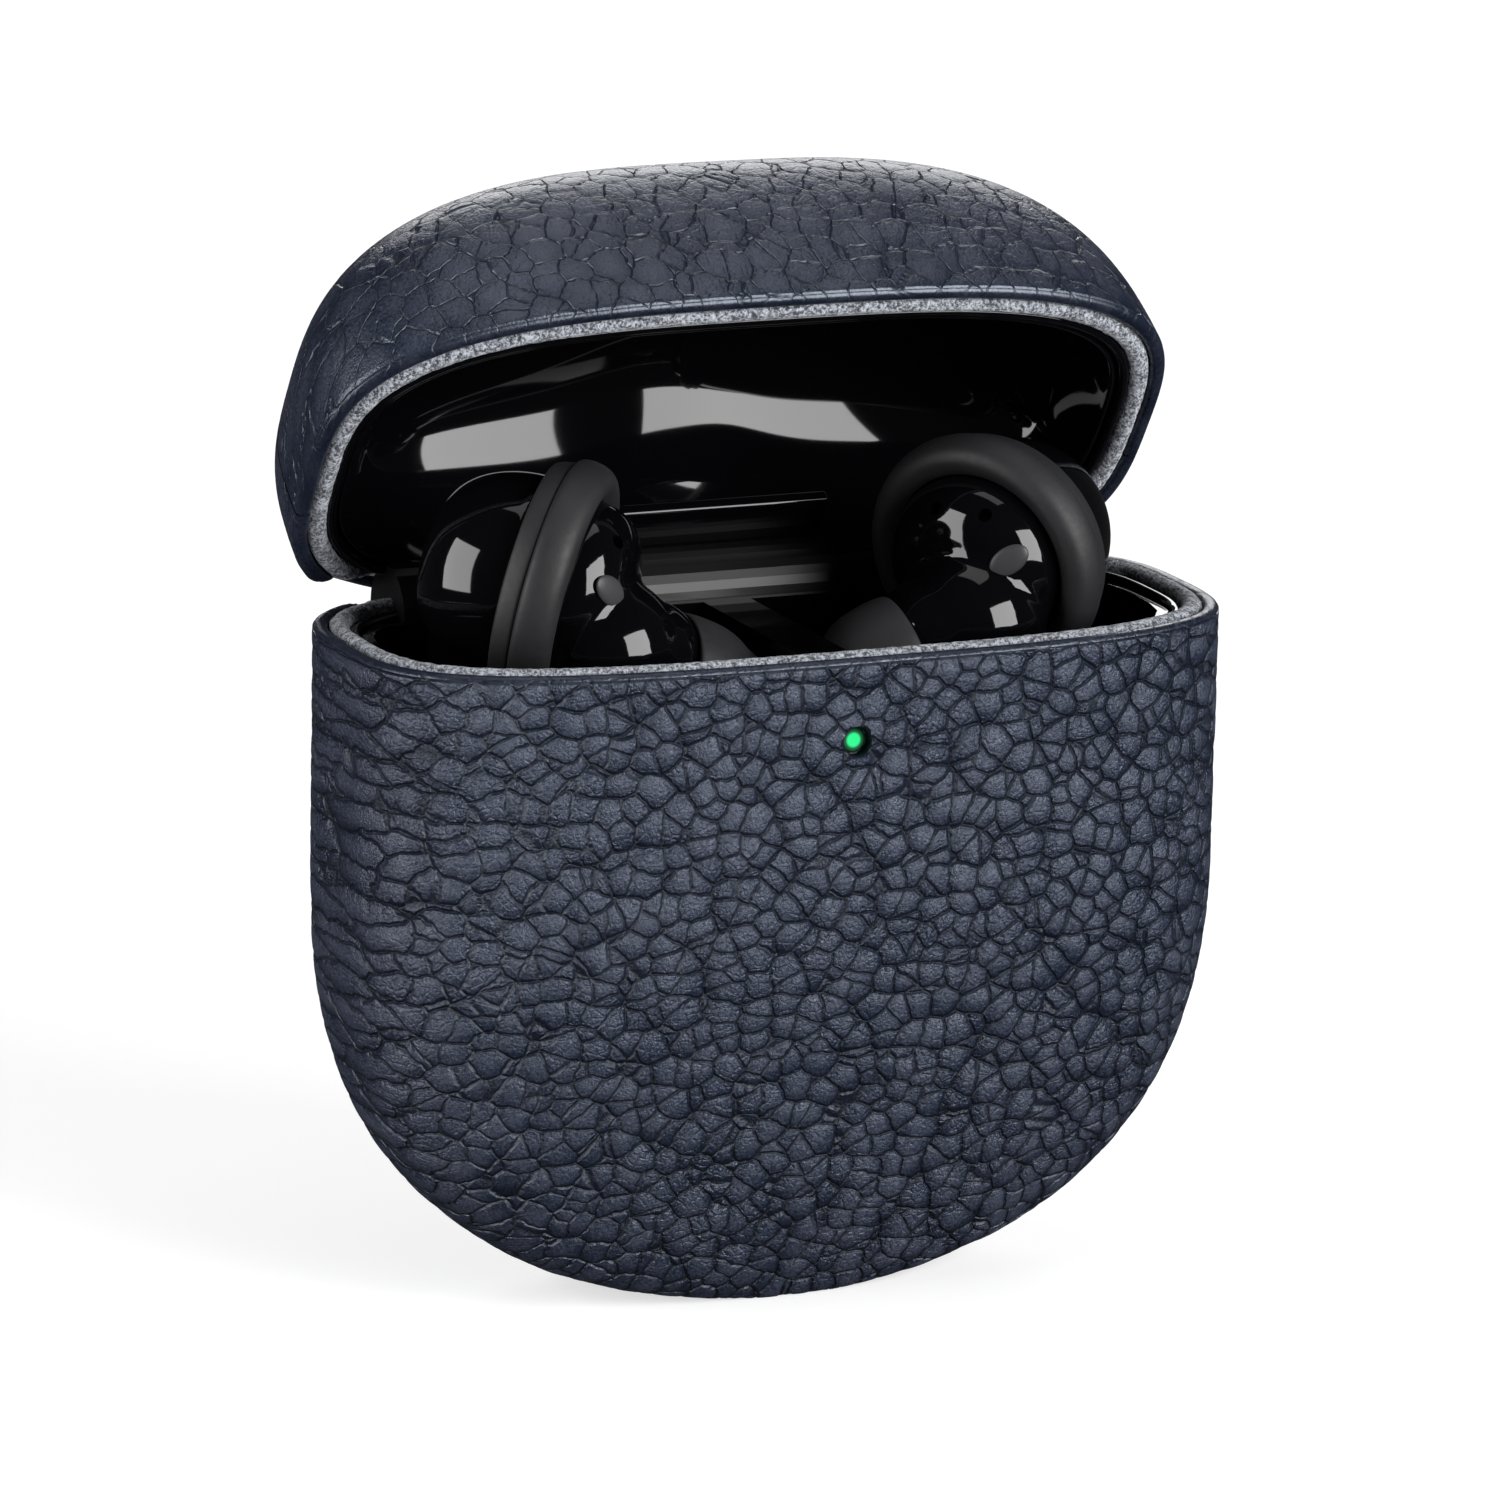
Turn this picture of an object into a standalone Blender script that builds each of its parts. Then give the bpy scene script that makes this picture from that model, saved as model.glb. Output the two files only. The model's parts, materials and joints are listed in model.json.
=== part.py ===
"""Wireless earbuds charging case in a leather sleeve, with both earbuds in their cradle.

Units are metres, +Z is up, +Y is the hinge side and -Y the front. The origin is the centre of the flat foot.
The lid is modelled closed and stands open on the hinge pivot, an empty on the hinge axis.
"""

import math

import bmesh
import bpy
from mathutils import Matrix, Vector

MM = 0.001

# ---------------------------------------------------------------- driving dimensions

CASE_WIDTH = 64.0 * MM  # over the leather
CASE_DEPTH = 30.86 * MM
RIM_HEIGHT = 47.8 * MM  # the body's leather rim above the foot
LID_HEIGHT = 18.85 * MM  # the lid's leather above that rim, closed
LID_OPEN_ANGLE = 56.0  # degrees from closed

LEATHER_THICKNESS = 1.05 * MM
LINING_THICKNESS = 0.95 * MM
SHELL_THICKNESS = 0.9 * MM
TRAY_WALL = 0.7 * MM
LINER_WALL = 0.7 * MM
SKIN_GAP = 0.12 * MM  # between two skins that lie on each other
RIM_GAP = 0.4 * MM  # between the lid's rim and the body's, closed
LINING_SET_BACK = 0.15 * MM
SHELL_SET_BACK = 0.45 * MM
DECK_SET_BACK = 0.9 * MM

SECTION_POWER = 3.23  # of the superellipse seen from above
FLANK_HEIGHT = 28.9 * MM  # below it the outline narrows
FLANK_POWER = 2.45
FACE_HEIGHT = 30.7 * MM  # below it the front and back lean in
FACE_POWER = 1.4
FOOT_HALF_DEPTH = 5.75 * MM
FOOT_CUT = 0.26 * MM  # the round bottom is cut this far up
LID_SIDE_POWER = 3.18
LID_FACE_POWER = 4.76
LID_WAIST = 1.2 * MM  # the dome's widest level lies this far below the rim

HINGE_SET_IN = 3.59 * MM  # the hinge axis in from the back face
HINGE_DROP = 0.98 * MM  # the hinge axis below the rim
BARREL_RADIUS = 3.35 * MM
BARREL_HALF_LENGTH = 17.0 * MM
BRACKET_LENGTH = 6.5 * MM
HINGE_END_GAP = 0.3 * MM
HINGE_CLEARANCE = 0.3 * MM
PIN_RADIUS = 0.8 * MM
PIN_CLEARANCE = 0.08 * MM
SLEEVE_RELIEF = 4.35 * MM  # radius of the body sleeve's cut for the lid's back edge

BODY_SEAM_SET_IN = 5.43 * MM  # the back panel's seam in from the back face
LID_SEAM_Y = 3.0 * MM
SEAM_GAP = 0.2 * MM

PIPE_HEIGHT = 42.0 * MM
PIPE_RADIUS = 0.9 * MM
PIPE_CLEARANCE = 0.12 * MM
LIGHT_HOLE_RADIUS = 1.1 * MM

BUTTON_HEIGHT = 33.2 * MM
BUTTON_RADIUS = 2.3 * MM
BUTTON_FLANGE = 0.5 * MM
BUTTON_CLEARANCE = 0.15 * MM
BUTTON_PROUD = 0.9 * MM
BUTTON_TRAVEL = 0.4 * MM
BUTTON_WINDOW = 1.0 * MM  # the sleeve's hole beyond the button

SOCKET_HEIGHT = 12.5 * MM
SOCKET_WIDTH = 8.94 * MM
SOCKET_TALL = 3.26 * MM
SOCKET_DEPTH = 5.0 * MM
SOCKET_WALL = 0.3 * MM
SOCKET_WINDOW = 1.2 * MM  # the sleeve's slot beyond the socket

DIVIDER_HALF = 1.8 * MM
POCKET_FLOOR = 39.2 * MM
STEM_PLAY = 0.7 * MM

BAND_CENTRE = Vector((16.3, -0.7, 50.9)) * MM  # right-hand earbud
BUD_AXIS = Vector((-0.799, -0.560, -0.218)).normalized()  # towards the ear
BAND_RADIUS = 9.1 * MM
BAND_INNER = 6.5 * MM
CAP_RADIUS = 7.2 * MM
CAP_LENGTH = 6.6 * MM  # beyond the band
BAND_WIDTH = 4.3 * MM
HOUSING_DOME = 3.1 * MM
BUD_GAP = 0.15 * MM
STEM_XY = Vector((20.2, 2.4)) * MM
STEM_RADIUS = 3.9 * MM
STEM_BOTTOM = 31.0 * MM
BULGE_CENTRE = Vector((12.5, -3.2, 46.6)) * MM
BULGE_RADIUS = 4.4 * MM
TIP_CENTRE = Vector((6.5, -4.9, 45.0)) * MM
TIP_RADIUS = 4.5 * MM
TIP_HALF_LENGTH = 2.9 * MM
TIP_OVAL = 1.12
NOZZLE_RADIUS = 1.9 * MM

CONTACT_RADIUS = 0.5 * MM
CONTACT_CLEARANCE = 0.15 * MM
CONTACT_SPREAD = 1.6 * MM
DIVIDER_CENTRE_Y = -3.2 * MM
DIVIDER_LENGTH = 15.0 * MM
DIVIDER_TOP = 45.6 * MM
SCREW_RADIUS = 0.7 * MM
SCREW_CLEARANCE = 0.15 * MM
SCREW_HEAD = 1.3 * MM
SCREW_HEAD_TALL = 0.7 * MM
SCREW_X = 8.0 * MM
SCREW_Y = 0.9 * MM
SCREW_LENGTH = 3.6 * MM

BATTERY_CENTRE = Vector((0, -2.2, 23.0)) * MM
BATTERY_SIZE = Vector((26.0, 9.0, 20.0)) * MM
CHASSIS_Y = -1.6 * MM
CHASSIS_DEPTH = 8.6 * MM
CHASSIS_WALL = 1.0 * MM
BOARD_THICKNESS = 0.8 * MM
BOARD_GAP = 0.6 * MM
BOARD_HALF_WIDTH = 12.0 * MM
BOARD_BOTTOM = 9.0 * MM
BOARD_TOP = 34.4 * MM
SWITCH_SIZE = Vector((5.0, 2.4, 5.0)) * MM
LED_SIZE = Vector((1.6, 0.8, 1.6)) * MM
MAGNET_RADIUS = 2.4 * MM
MAGNET_TALL = 1.2 * MM
MAGNET_X = 9.5 * MM
MAGNET_Y = -4.4 * MM
CLOSURE_MAGNET = Vector((1.6, 4.0, 2.0)) * MM
CLOSE_GAP = 0.1 * MM

LID_MAGNET = Vector((5.0, 1.4, 3.4)) * MM
LID_MAGNET_HEIGHT = 4.2 * MM
LEDGE_HALF = 8.6 * MM
LEDGE_SET_IN = 6.64 * MM  # from the hinge axis to its front face
LEDGE_HEIGHT = 4.6 * MM
LEDGE_ROUND = 0.5 * MM
RIDGE_DEPTH = 2.4 * MM

SPRING_RADIUS = 1.7 * MM
SPRING_WIRE = 0.28 * MM
SPRING_CLEARANCE = 0.25 * MM
SPRING_LENGTH = 6.0 * MM
SPRING_TURNS = 5

STEM_TOP = 53.0 * MM
STEM_BEVEL = 0.9 * MM
PAD_RADIUS = 0.9 * MM
PAD_TALL = 0.5 * MM
CELL_ROOM = 5.6 * MM
CELL_RADIUS = 4.6 * MM
CELL_TALL = 2.6 * MM
DRIVER_ROOM = 5.6 * MM
DRIVER_DEPTH = 3.4 * MM
MESH_RADIUS = 1.55 * MM
WINDOW_RADIUS = 0.95 * MM
WINDOW_DEPTH = 0.7 * MM
BUD_BOARD = Vector((3.4, 0.8, 7.4)) * MM
BUD_BOARD_Z = 36.6 * MM

SEGMENTS = 36
ROUND_SEGMENTS = 24
SMALL_SEGMENTS = 16

# ---------------------------------------------------------------- worked out

HALF_WIDTH = CASE_WIDTH / 2
HALF_DEPTH = CASE_DEPTH / 2
HINGE_Y = HALF_DEPTH - HINGE_SET_IN
HINGE_Z = RIM_HEIGHT - HINGE_DROP
BODY_SEAM_Y = HALF_DEPTH - BODY_SEAM_SET_IN
LEDGE_FRONT = HINGE_Y - LEDGE_SET_IN
LINING_INSET = LEATHER_THICKNESS + SKIN_GAP
SHELL_INSET = LINING_INSET + LINING_THICKNESS + SKIN_GAP
TRAY_INSET = SHELL_INSET + SHELL_THICKNESS + SKIN_GAP
POCKET_INSET = TRAY_INSET + TRAY_WALL
DECK_HEIGHT = RIM_HEIGHT - DECK_SET_BACK
TRAY_BOTTOM = POCKET_FLOOR - TRAY_WALL
CAVITY_RADIUS = BARREL_RADIUS + HINGE_CLEARANCE
LID_MAGNET_Y = -(HALF_DEPTH - TRAY_INSET) + LID_MAGNET.y / 2 + CLOSE_GAP


# ---------------------------------------------------------------- materials


def make_material(name, colour, roughness, metallic=0.0):
    material = bpy.data.materials.new(name)
    material.use_nodes = True
    shader = material.node_tree.nodes["Principled BSDF"]
    shader.inputs["Base Color"].default_value = (*colour, 1.0)
    shader.inputs["Roughness"].default_value = roughness
    shader.inputs["Metallic"].default_value = metallic
    return material


# ---------------------------------------------------------------- mesh helpers


def add_object(name, bm, material=None, pivot=None, smooth=True):
    """A bmesh in world coordinates as an object, standing on a pivot empty if one is given."""
    bmesh.ops.remove_doubles(bm, verts=bm.verts, dist=0.002 * MM)
    bmesh.ops.recalc_face_normals(bm, faces=bm.faces)
    mesh = bpy.data.meshes.new(name)
    if pivot is not None:
        bm.transform(Matrix.Translation(-pivot.location))
    bm.to_mesh(mesh)
    bm.free()
    if smooth:
        mesh.shade_smooth()
        mesh.set_sharp_from_angle(angle=math.radians(35))
    obj = bpy.data.objects.new(name, mesh)
    bpy.context.scene.collection.objects.link(obj)
    obj.parent = pivot
    if material is not None:
        mesh.materials.append(material)
    return obj


def add_cutter(name, bm, pivot=None):
    cutter = add_object(name, bm, pivot=pivot, smooth=False)
    cutter.hide_render = True
    cutter.display_type = "WIRE"
    return cutter


def boolean(obj, operation, other):
    modifier = obj.modifiers.new(operation.title(), "BOOLEAN")
    modifier.operation = operation
    modifier.object = other
    modifier.solver = "EXACT"
    return obj


def cut(obj, *cutters):
    for cutter in cutters:
        boolean(obj, "DIFFERENCE", cutter)
    return obj


def loft(sections):
    """A closed solid through a row of closed sections, capped at both ends."""
    bm = bmesh.new()
    rings = [[bm.verts.new(point) for point in section] for section in sections]
    for low, high in zip(rings, rings[1:]):
        for i in range(len(low)):
            bm.faces.new((low[i - 1], low[i], high[i], high[i - 1]))
    bm.faces.new(rings[0])
    bm.faces.new(rings[-1])
    bmesh.ops.recalc_face_normals(bm, faces=bm.faces)
    return bm


def superellipse(half_x, half_y, z, segments=SEGMENTS):
    points = []
    for i in range(segments):
        t = 2 * math.pi * (i + 0.5) / segments
        c, s = math.cos(t), math.sin(t)
        x = half_x * math.copysign(abs(c) ** (2 / SECTION_POWER), c)
        y = half_y * math.copysign(abs(s) ** (2 / SECTION_POWER), s)
        points.append((x, y, z))
    return points


def frame_along(origin, axis):
    """A matrix whose Z axis runs along the given axis."""
    return Matrix.Translation(origin) @ axis.to_track_quat("Z", "Y").to_matrix().to_4x4()


def revolve(profile, frame=None, segments=ROUND_SEGMENTS):
    """Spins (distance along the axis, radius) points round the frame's Z axis."""
    bm = bmesh.new()
    verts = [bm.verts.new((radius, 0, along)) for along, radius in profile]
    edges = [bm.edges.new((verts[i], verts[i + 1])) for i in range(len(verts) - 1)]
    if profile[0][1] > 0 and profile[-1][1] > 0:
        edges.append(bm.edges.new((verts[-1], verts[0])))
    bmesh.ops.spin(
        bm,
        geom=verts + edges,
        cent=(0, 0, 0),
        axis=(0, 0, 1),
        angle=2 * math.pi,
        steps=segments,
        use_merge=True,
    )
    bmesh.ops.remove_doubles(bm, verts=bm.verts, dist=0.002 * MM)
    if frame is not None:
        bm.transform(frame)
    return bm


def rod(radius, start, end, segments=ROUND_SEGMENTS, bevel=0.0):
    start, end = Vector(start), Vector(end)
    length = (end - start).length
    profile = [(0, 0), (0, radius - bevel), (bevel, radius)]
    profile += [(length - bevel, radius), (length, radius - bevel), (length, 0)]
    if bevel == 0:
        profile = [(0, 0), (0, radius), (length, radius), (length, 0)]
    return revolve(profile, frame_along(start, (end - start).normalized()), segments)


def block(centre, size, bevel=0.0):
    bm = bmesh.new()
    bmesh.ops.create_cube(bm, size=1.0)
    bm.transform(Matrix.Translation(centre) @ Matrix.Diagonal((*size, 1.0)))
    if bevel > 0:
        bmesh.ops.bevel(bm, geom=bm.edges[:], offset=bevel, segments=2, profile=0.5, affect="EDGES")
    return bm


def slot_bar(centre, width, tall, depth):
    """A bar along Y with a rounded slot for its section, as a USB-C shell has."""
    radius, straight = tall / 2, (width - tall) / 2
    outline = []
    for i in range(SMALL_SEGMENTS):
        t = 2 * math.pi * (i + 0.5) / SMALL_SEGMENTS
        side = math.copysign(straight, math.cos(t))
        outline.append((centre.x + side + radius * math.cos(t), centre.z + radius * math.sin(t)))
    return loft([[(x, centre.y + end * depth / 2, z) for x, z in outline] for end in (-1, 1)])


def mirrored(bm, side):
    """The right-hand shape for side +1, and its mirror image for side -1."""
    if side < 0:
        bm.transform(Matrix.Scale(-1, 4, (1, 0, 0)))
        bmesh.ops.reverse_faces(bm, faces=bm.faces)
    return bm


def mirrored_point(point, side):
    return Vector((point.x * side, point.y, point.z))


# ---------------------------------------------------------------- the case's outer form


def swell(share, power):
    return max(0.0, 1 - share**power) ** (1 / power)


def body_section(z, inset, segments=SEGMENTS):
    """The body's horizontal section at height z, a skin's inset inside the leather."""
    half_x, half_y = HALF_WIDTH - inset, HALF_DEPTH - inset
    if z < FLANK_HEIGHT:
        half_x *= swell((FLANK_HEIGHT - z) / (FLANK_HEIGHT + FOOT_CUT - inset), FLANK_POWER)
    if z < FACE_HEIGHT:
        foot = FOOT_HALF_DEPTH - inset
        half_y = foot + (half_y - foot) * swell(
            (FACE_HEIGHT - z) / (FACE_HEIGHT + FOOT_CUT - inset), FACE_POWER
        )
    return superellipse(half_x, half_y, z, segments)


def body_levels(inset, top, steps):
    """Heights from the skin's floor to its rim, closer together near the floor."""
    return [inset + (top - inset) * (i / steps) ** 1.6 for i in range(steps + 1)]


def lid_section(height, inset, segments=SEGMENTS):
    """The closed lid's section at a height above the body's rim."""
    crown = LID_HEIGHT - inset
    share = (height + LID_WAIST) / (crown + LID_WAIST)
    start = LID_WAIST / (crown + LID_WAIST)
    side = swell(share, LID_SIDE_POWER) / swell(start, LID_SIDE_POWER)
    face = swell(share, LID_FACE_POWER) / swell(start, LID_FACE_POWER)
    half_x, half_y = (HALF_WIDTH - inset) * side, (HALF_DEPTH - inset) * face
    return superellipse(half_x, half_y, RIM_HEIGHT + height, segments)


def lid_levels(inset, bottom, steps):
    """Heights from the rim to just under the crown, closer together near the crown."""
    crown = (LID_HEIGHT - inset) * 0.996
    return [crown - (crown - bottom) * (1 - i / steps) ** 1.8 for i in range(steps + 1)]


def body_cup(inset, thickness, top, steps=8):
    outer = [body_section(z, inset) for z in body_levels(inset, top, steps)]
    inner_inset = inset + thickness
    inner = [body_section(z, inner_inset) for z in body_levels(inner_inset, top, steps)]
    return loft(outer + inner[::-1])


def lid_cup(inset, thickness, bottom, steps=7):
    outer = [lid_section(h, inset) for h in lid_levels(inset, bottom, steps)]
    inner_inset = inset + thickness
    inner = [lid_section(h, inner_inset) for h in lid_levels(inner_inset, bottom, steps)]
    return loft(outer[::-1] + inner)


def hinge_rod(radius, half_length, segments=ROUND_SEGMENTS):
    return rod(radius, (-half_length, HINGE_Y, HINGE_Z), (half_length, HINGE_Y, HINGE_Z), segments)


# ---------------------------------------------------------------- sleeve


def seam_boxes(name, seam_y, pivot):
    """The two cutters that part a leather cover into its front piece and its back panel."""
    reach = CASE_WIDTH
    back = block((0, seam_y - SEAM_GAP / 2 + reach / 2, RIM_HEIGHT), (2 * reach, reach, 3 * reach))
    front = block((0, seam_y + SEAM_GAP / 2 - reach / 2, RIM_HEIGHT), (2 * reach, reach, 3 * reach))
    return add_cutter(name + "_back", back, pivot), add_cutter(name + "_front", front, pivot)


def build_body_sleeve(leather, lining):
    behind, before = seam_boxes("cut_body_seam", BODY_SEAM_Y, None)
    relief = add_cutter("cut_sleeve_hinge", hinge_rod(SLEEVE_RELIEF, sleeve_relief_half()))
    light = add_cutter(
        "cut_sleeve_light",
        rod(LIGHT_HOLE_RADIUS, (0, -CASE_DEPTH, PIPE_HEIGHT), (0, 0, PIPE_HEIGHT), SMALL_SEGMENTS),
    )
    button = add_cutter(
        "cut_sleeve_button",
        rod(BUTTON_RADIUS + BUTTON_WINDOW, (0, 0, BUTTON_HEIGHT), (0, CASE_DEPTH, BUTTON_HEIGHT)),
    )
    socket = add_cutter(
        "cut_sleeve_socket",
        slot_bar(
            Vector((0, HALF_DEPTH, SOCKET_HEIGHT)),
            SOCKET_WIDTH + 2 * SOCKET_WINDOW,
            SOCKET_TALL + 2 * SOCKET_WINDOW,
            CASE_DEPTH,
        ),
    )
    front = add_object("body_leather_front", body_cup(0, LEATHER_THICKNESS, RIM_HEIGHT), leather)
    cut(front, behind, relief, light)
    back = add_object("body_leather_back", body_cup(0, LEATHER_THICKNESS, RIM_HEIGHT), leather)
    cut(back, before, relief, button, socket)
    felt = add_object(
        "body_lining",
        body_cup(LINING_INSET, LINING_THICKNESS, RIM_HEIGHT - LINING_SET_BACK),
        lining,
    )
    cut(felt, relief, light, button, socket)


def sleeve_relief_half():
    """Where the sleeve's outline has come forward far enough for its back edge to clear."""
    return 28.2 / 32 * HALF_WIDTH


def build_lid_sleeve(leather, lining, pivot):
    behind, before = seam_boxes("cut_lid_seam", LID_SEAM_Y, pivot)
    relief = add_cutter("cut_lid_hinge", hinge_rod(CAVITY_RADIUS, sleeve_relief_half()), pivot)
    front = add_object(
        "lid_leather_front", lid_cup(0, LEATHER_THICKNESS, RIM_GAP), leather, pivot
    )
    cut(front, behind, relief)
    back = add_object("lid_leather_back", lid_cup(0, LEATHER_THICKNESS, RIM_GAP), leather, pivot)
    cut(back, before, relief)
    felt = add_object(
        "lid_lining",
        lid_cup(LINING_INSET, LINING_THICKNESS, RIM_GAP + LINING_SET_BACK),
        lining,
        pivot,
    )
    cut(felt, relief)


# ---------------------------------------------------------------- case body


def build_body_shell(plastic):
    shell = add_object(
        "body_shell", body_cup(SHELL_INSET, SHELL_THICKNESS, RIM_HEIGHT - SHELL_SET_BACK), plastic
    )
    relief = add_cutter("cut_shell_hinge", hinge_rod(CAVITY_RADIUS, sleeve_relief_half()))
    light = add_cutter(
        "cut_shell_light",
        rod(
            PIPE_RADIUS + PIPE_CLEARANCE,
            (0, -CASE_DEPTH, PIPE_HEIGHT),
            (0, 0, PIPE_HEIGHT),
            SMALL_SEGMENTS,
        ),
    )
    button = add_cutter(
        "cut_shell_button",
        rod(
            BUTTON_RADIUS + BUTTON_CLEARANCE,
            (0, 0, BUTTON_HEIGHT),
            (0, CASE_DEPTH, BUTTON_HEIGHT),
        ),
    )
    socket = add_cutter(
        "cut_shell_socket",
        slot_bar(
            Vector((0, HALF_DEPTH, SOCKET_HEIGHT)),
            SOCKET_WIDTH + 2 * BUTTON_CLEARANCE,
            SOCKET_TALL + 2 * BUTTON_CLEARANCE,
            CASE_DEPTH,
        ),
    )
    cut(shell, relief, light, button, socket)


def pocket_solid():
    """The tray's inside above the pocket floor."""
    low = body_section(POCKET_FLOOR, POCKET_INSET)
    high = [(x, y, RIM_HEIGHT + LID_HEIGHT) for x, y, _ in body_section(RIM_HEIGHT, POCKET_INSET)]
    return loft([low, body_section(RIM_HEIGHT, POCKET_INSET), high])


def half_block(face_x, side):
    """A block that holds everything from the far side up to a plane beside the middle."""
    reach = CASE_WIDTH
    return block((side * (face_x - reach / 2), 0, RIM_HEIGHT), (reach, reach, 2 * reach))


def stem_point(z, side):
    return (side * STEM_XY.x, STEM_XY.y, z)


def build_tray(plastic):
    """The cradle: a deck with a head pocket and a stem well for each earbud."""
    levels = (TRAY_BOTTOM, DECK_HEIGHT)
    tray = add_object(
        "cradle_tray", loft([body_section(z, TRAY_INSET) for z in levels]), plastic
    )
    well_floor = STEM_BOTTOM - STEM_PLAY
    keep_out = add_cutter(
        "keep_barrel_wall", hinge_rod(CAVITY_RADIUS + TRAY_WALL, 2 * BARREL_HALF_LENGTH)
    )
    for side, hand in ((-1, "left"), (1, "right")):
        tube = add_cutter(
            "join_stem_tube_" + hand,
            rod(
                STEM_RADIUS + STEM_PLAY + TRAY_WALL,
                stem_point(well_floor - TRAY_WALL, side),
                stem_point(TRAY_BOTTOM + TRAY_WALL / 2, side),
            ),
        )
        boolean(tray, "UNION", tube)
    for side, hand in ((-1, "left"), (1, "right")):
        pocket = add_cutter("cut_pocket_" + hand, pocket_solid())
        beside = add_cutter("keep_divider_" + hand, half_block(DIVIDER_HALF, side))
        cut(pocket, keep_out, beside)
        well = add_cutter(
            "cut_well_" + hand,
            rod(
                STEM_RADIUS + STEM_PLAY,
                stem_point(well_floor, side),
                stem_point(POCKET_FLOOR + TRAY_WALL, side),
            ),
        )
        cut(tray, pocket, well)
        for end in (-1, 1):
            hole = rod(
                CONTACT_RADIUS + CONTACT_CLEARANCE,
                contact_point(well_floor - 2 * TRAY_WALL, side, end),
                contact_point(well_floor + TRAY_WALL, side, end),
                SMALL_SEGMENTS,
            )
            cut(tray, add_cutter(f"cut_contact_{hand}_{'ab'[end > 0]}", hole))
    hollow = add_cutter(
        "cut_divider",
        block(
            (0, DIVIDER_CENTRE_Y, (TRAY_BOTTOM + DIVIDER_TOP) / 2 - TRAY_WALL),
            (
                2 * (DIVIDER_HALF - TRAY_WALL),
                DIVIDER_LENGTH,
                DIVIDER_TOP - TRAY_BOTTOM + 2 * TRAY_WALL,
            ),
        ),
    )
    light = add_cutter(
        "cut_tray_light",
        rod(
            PIPE_RADIUS + PIPE_CLEARANCE,
            (0, -CASE_DEPTH, PIPE_HEIGHT),
            (0, -HALF_DEPTH / 2, PIPE_HEIGHT),
            SMALL_SEGMENTS,
        ),
    )
    barrel = add_cutter("cut_tray_hinge", hinge_rod(CAVITY_RADIUS, 2 * BARREL_HALF_LENGTH))
    cut(tray, hollow, light, barrel)
    for side, hand in ((-1, "left"), (1, "right")):
        hole = rod(
            SCREW_RADIUS + SCREW_CLEARANCE,
            screw_point(TRAY_BOTTOM - TRAY_WALL, side),
            screw_point(POCKET_FLOOR + TRAY_WALL, side),
            SMALL_SEGMENTS,
        )
        cut(tray, add_cutter("cut_tray_screw_" + hand, hole))


def contact_point(z, side, end):
    return (side * STEM_XY.x, STEM_XY.y + end * CONTACT_SPREAD, z)


def screw_point(z, side):
    return (side * SCREW_X, SCREW_Y, z)


def screw(name, seat, direction, metal, pivot=None):
    """A pan-head screw whose head rests on the seat and whose shank runs along direction."""
    profile = [
        (-SCREW_HEAD_TALL, 0),
        (-SCREW_HEAD_TALL, SCREW_HEAD * 0.75),
        (-SCREW_HEAD_TALL / 2, SCREW_HEAD),
        (0, SCREW_HEAD),
        (0, SCREW_RADIUS),
        (SCREW_LENGTH - SCREW_RADIUS, SCREW_RADIUS),
        (SCREW_LENGTH, SCREW_RADIUS * 0.3),
        (SCREW_LENGTH, 0),
    ]
    bm = revolve(profile, frame_along(Vector(seat), Vector(direction)), 12)
    driver = rod(
        SCREW_HEAD * 0.38,
        Vector(seat) - Vector(direction) * (SCREW_HEAD_TALL * 2),
        Vector(seat) - Vector(direction) * (SCREW_HEAD_TALL * 0.45),
        6,
    )
    obj = add_object(name, bm, metal, pivot)
    cut(obj, add_cutter("cut_" + name, driver, pivot))
    return obj


# ---------------------------------------------------------------- electronics and small parts


def board_face():
    """The main board's rear face."""
    return BATTERY_CENTRE.y + BATTERY_SIZE.y / 2 + BOARD_GAP + BOARD_THICKNESS


def back_of_shell(z):
    """Y of the shell's outer face at the middle of the back."""
    return max(y for _, y, _ in body_section(z, SHELL_INSET))


def build_electronics(mats):
    add_object("battery", block(BATTERY_CENTRE, BATTERY_SIZE, 0.8 * MM), mats["foil"])
    build_chassis(mats["plastic"])
    face = board_face()
    board = block(
        (0, face - BOARD_THICKNESS / 2, (BOARD_BOTTOM + BOARD_TOP) / 2),
        (2 * BOARD_HALF_WIDTH, BOARD_THICKNESS, BOARD_TOP - BOARD_BOTTOM),
    )
    add_object("main_board", board, mats["board"], smooth=False)
    build_socket(face, mats["steel"])
    button_inside = button_flange_y() - BUTTON_TRAVEL - CLOSE_GAP
    body_depth = SWITCH_SIZE.y
    body = block(
        (0, face + CLOSE_GAP + body_depth / 2, BUTTON_HEIGHT),
        SWITCH_SIZE,
    )
    switch = add_object("pairing_switch", body, mats["steel"], smooth=False)
    stem = rod(
        BUTTON_RADIUS / 2,
        (0, face + CLOSE_GAP + body_depth / 2, BUTTON_HEIGHT),
        (0, button_inside, BUTTON_HEIGHT),
        SMALL_SEGMENTS,
    )
    boolean(switch, "UNION", add_cutter("join_switch_stem", stem))


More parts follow.
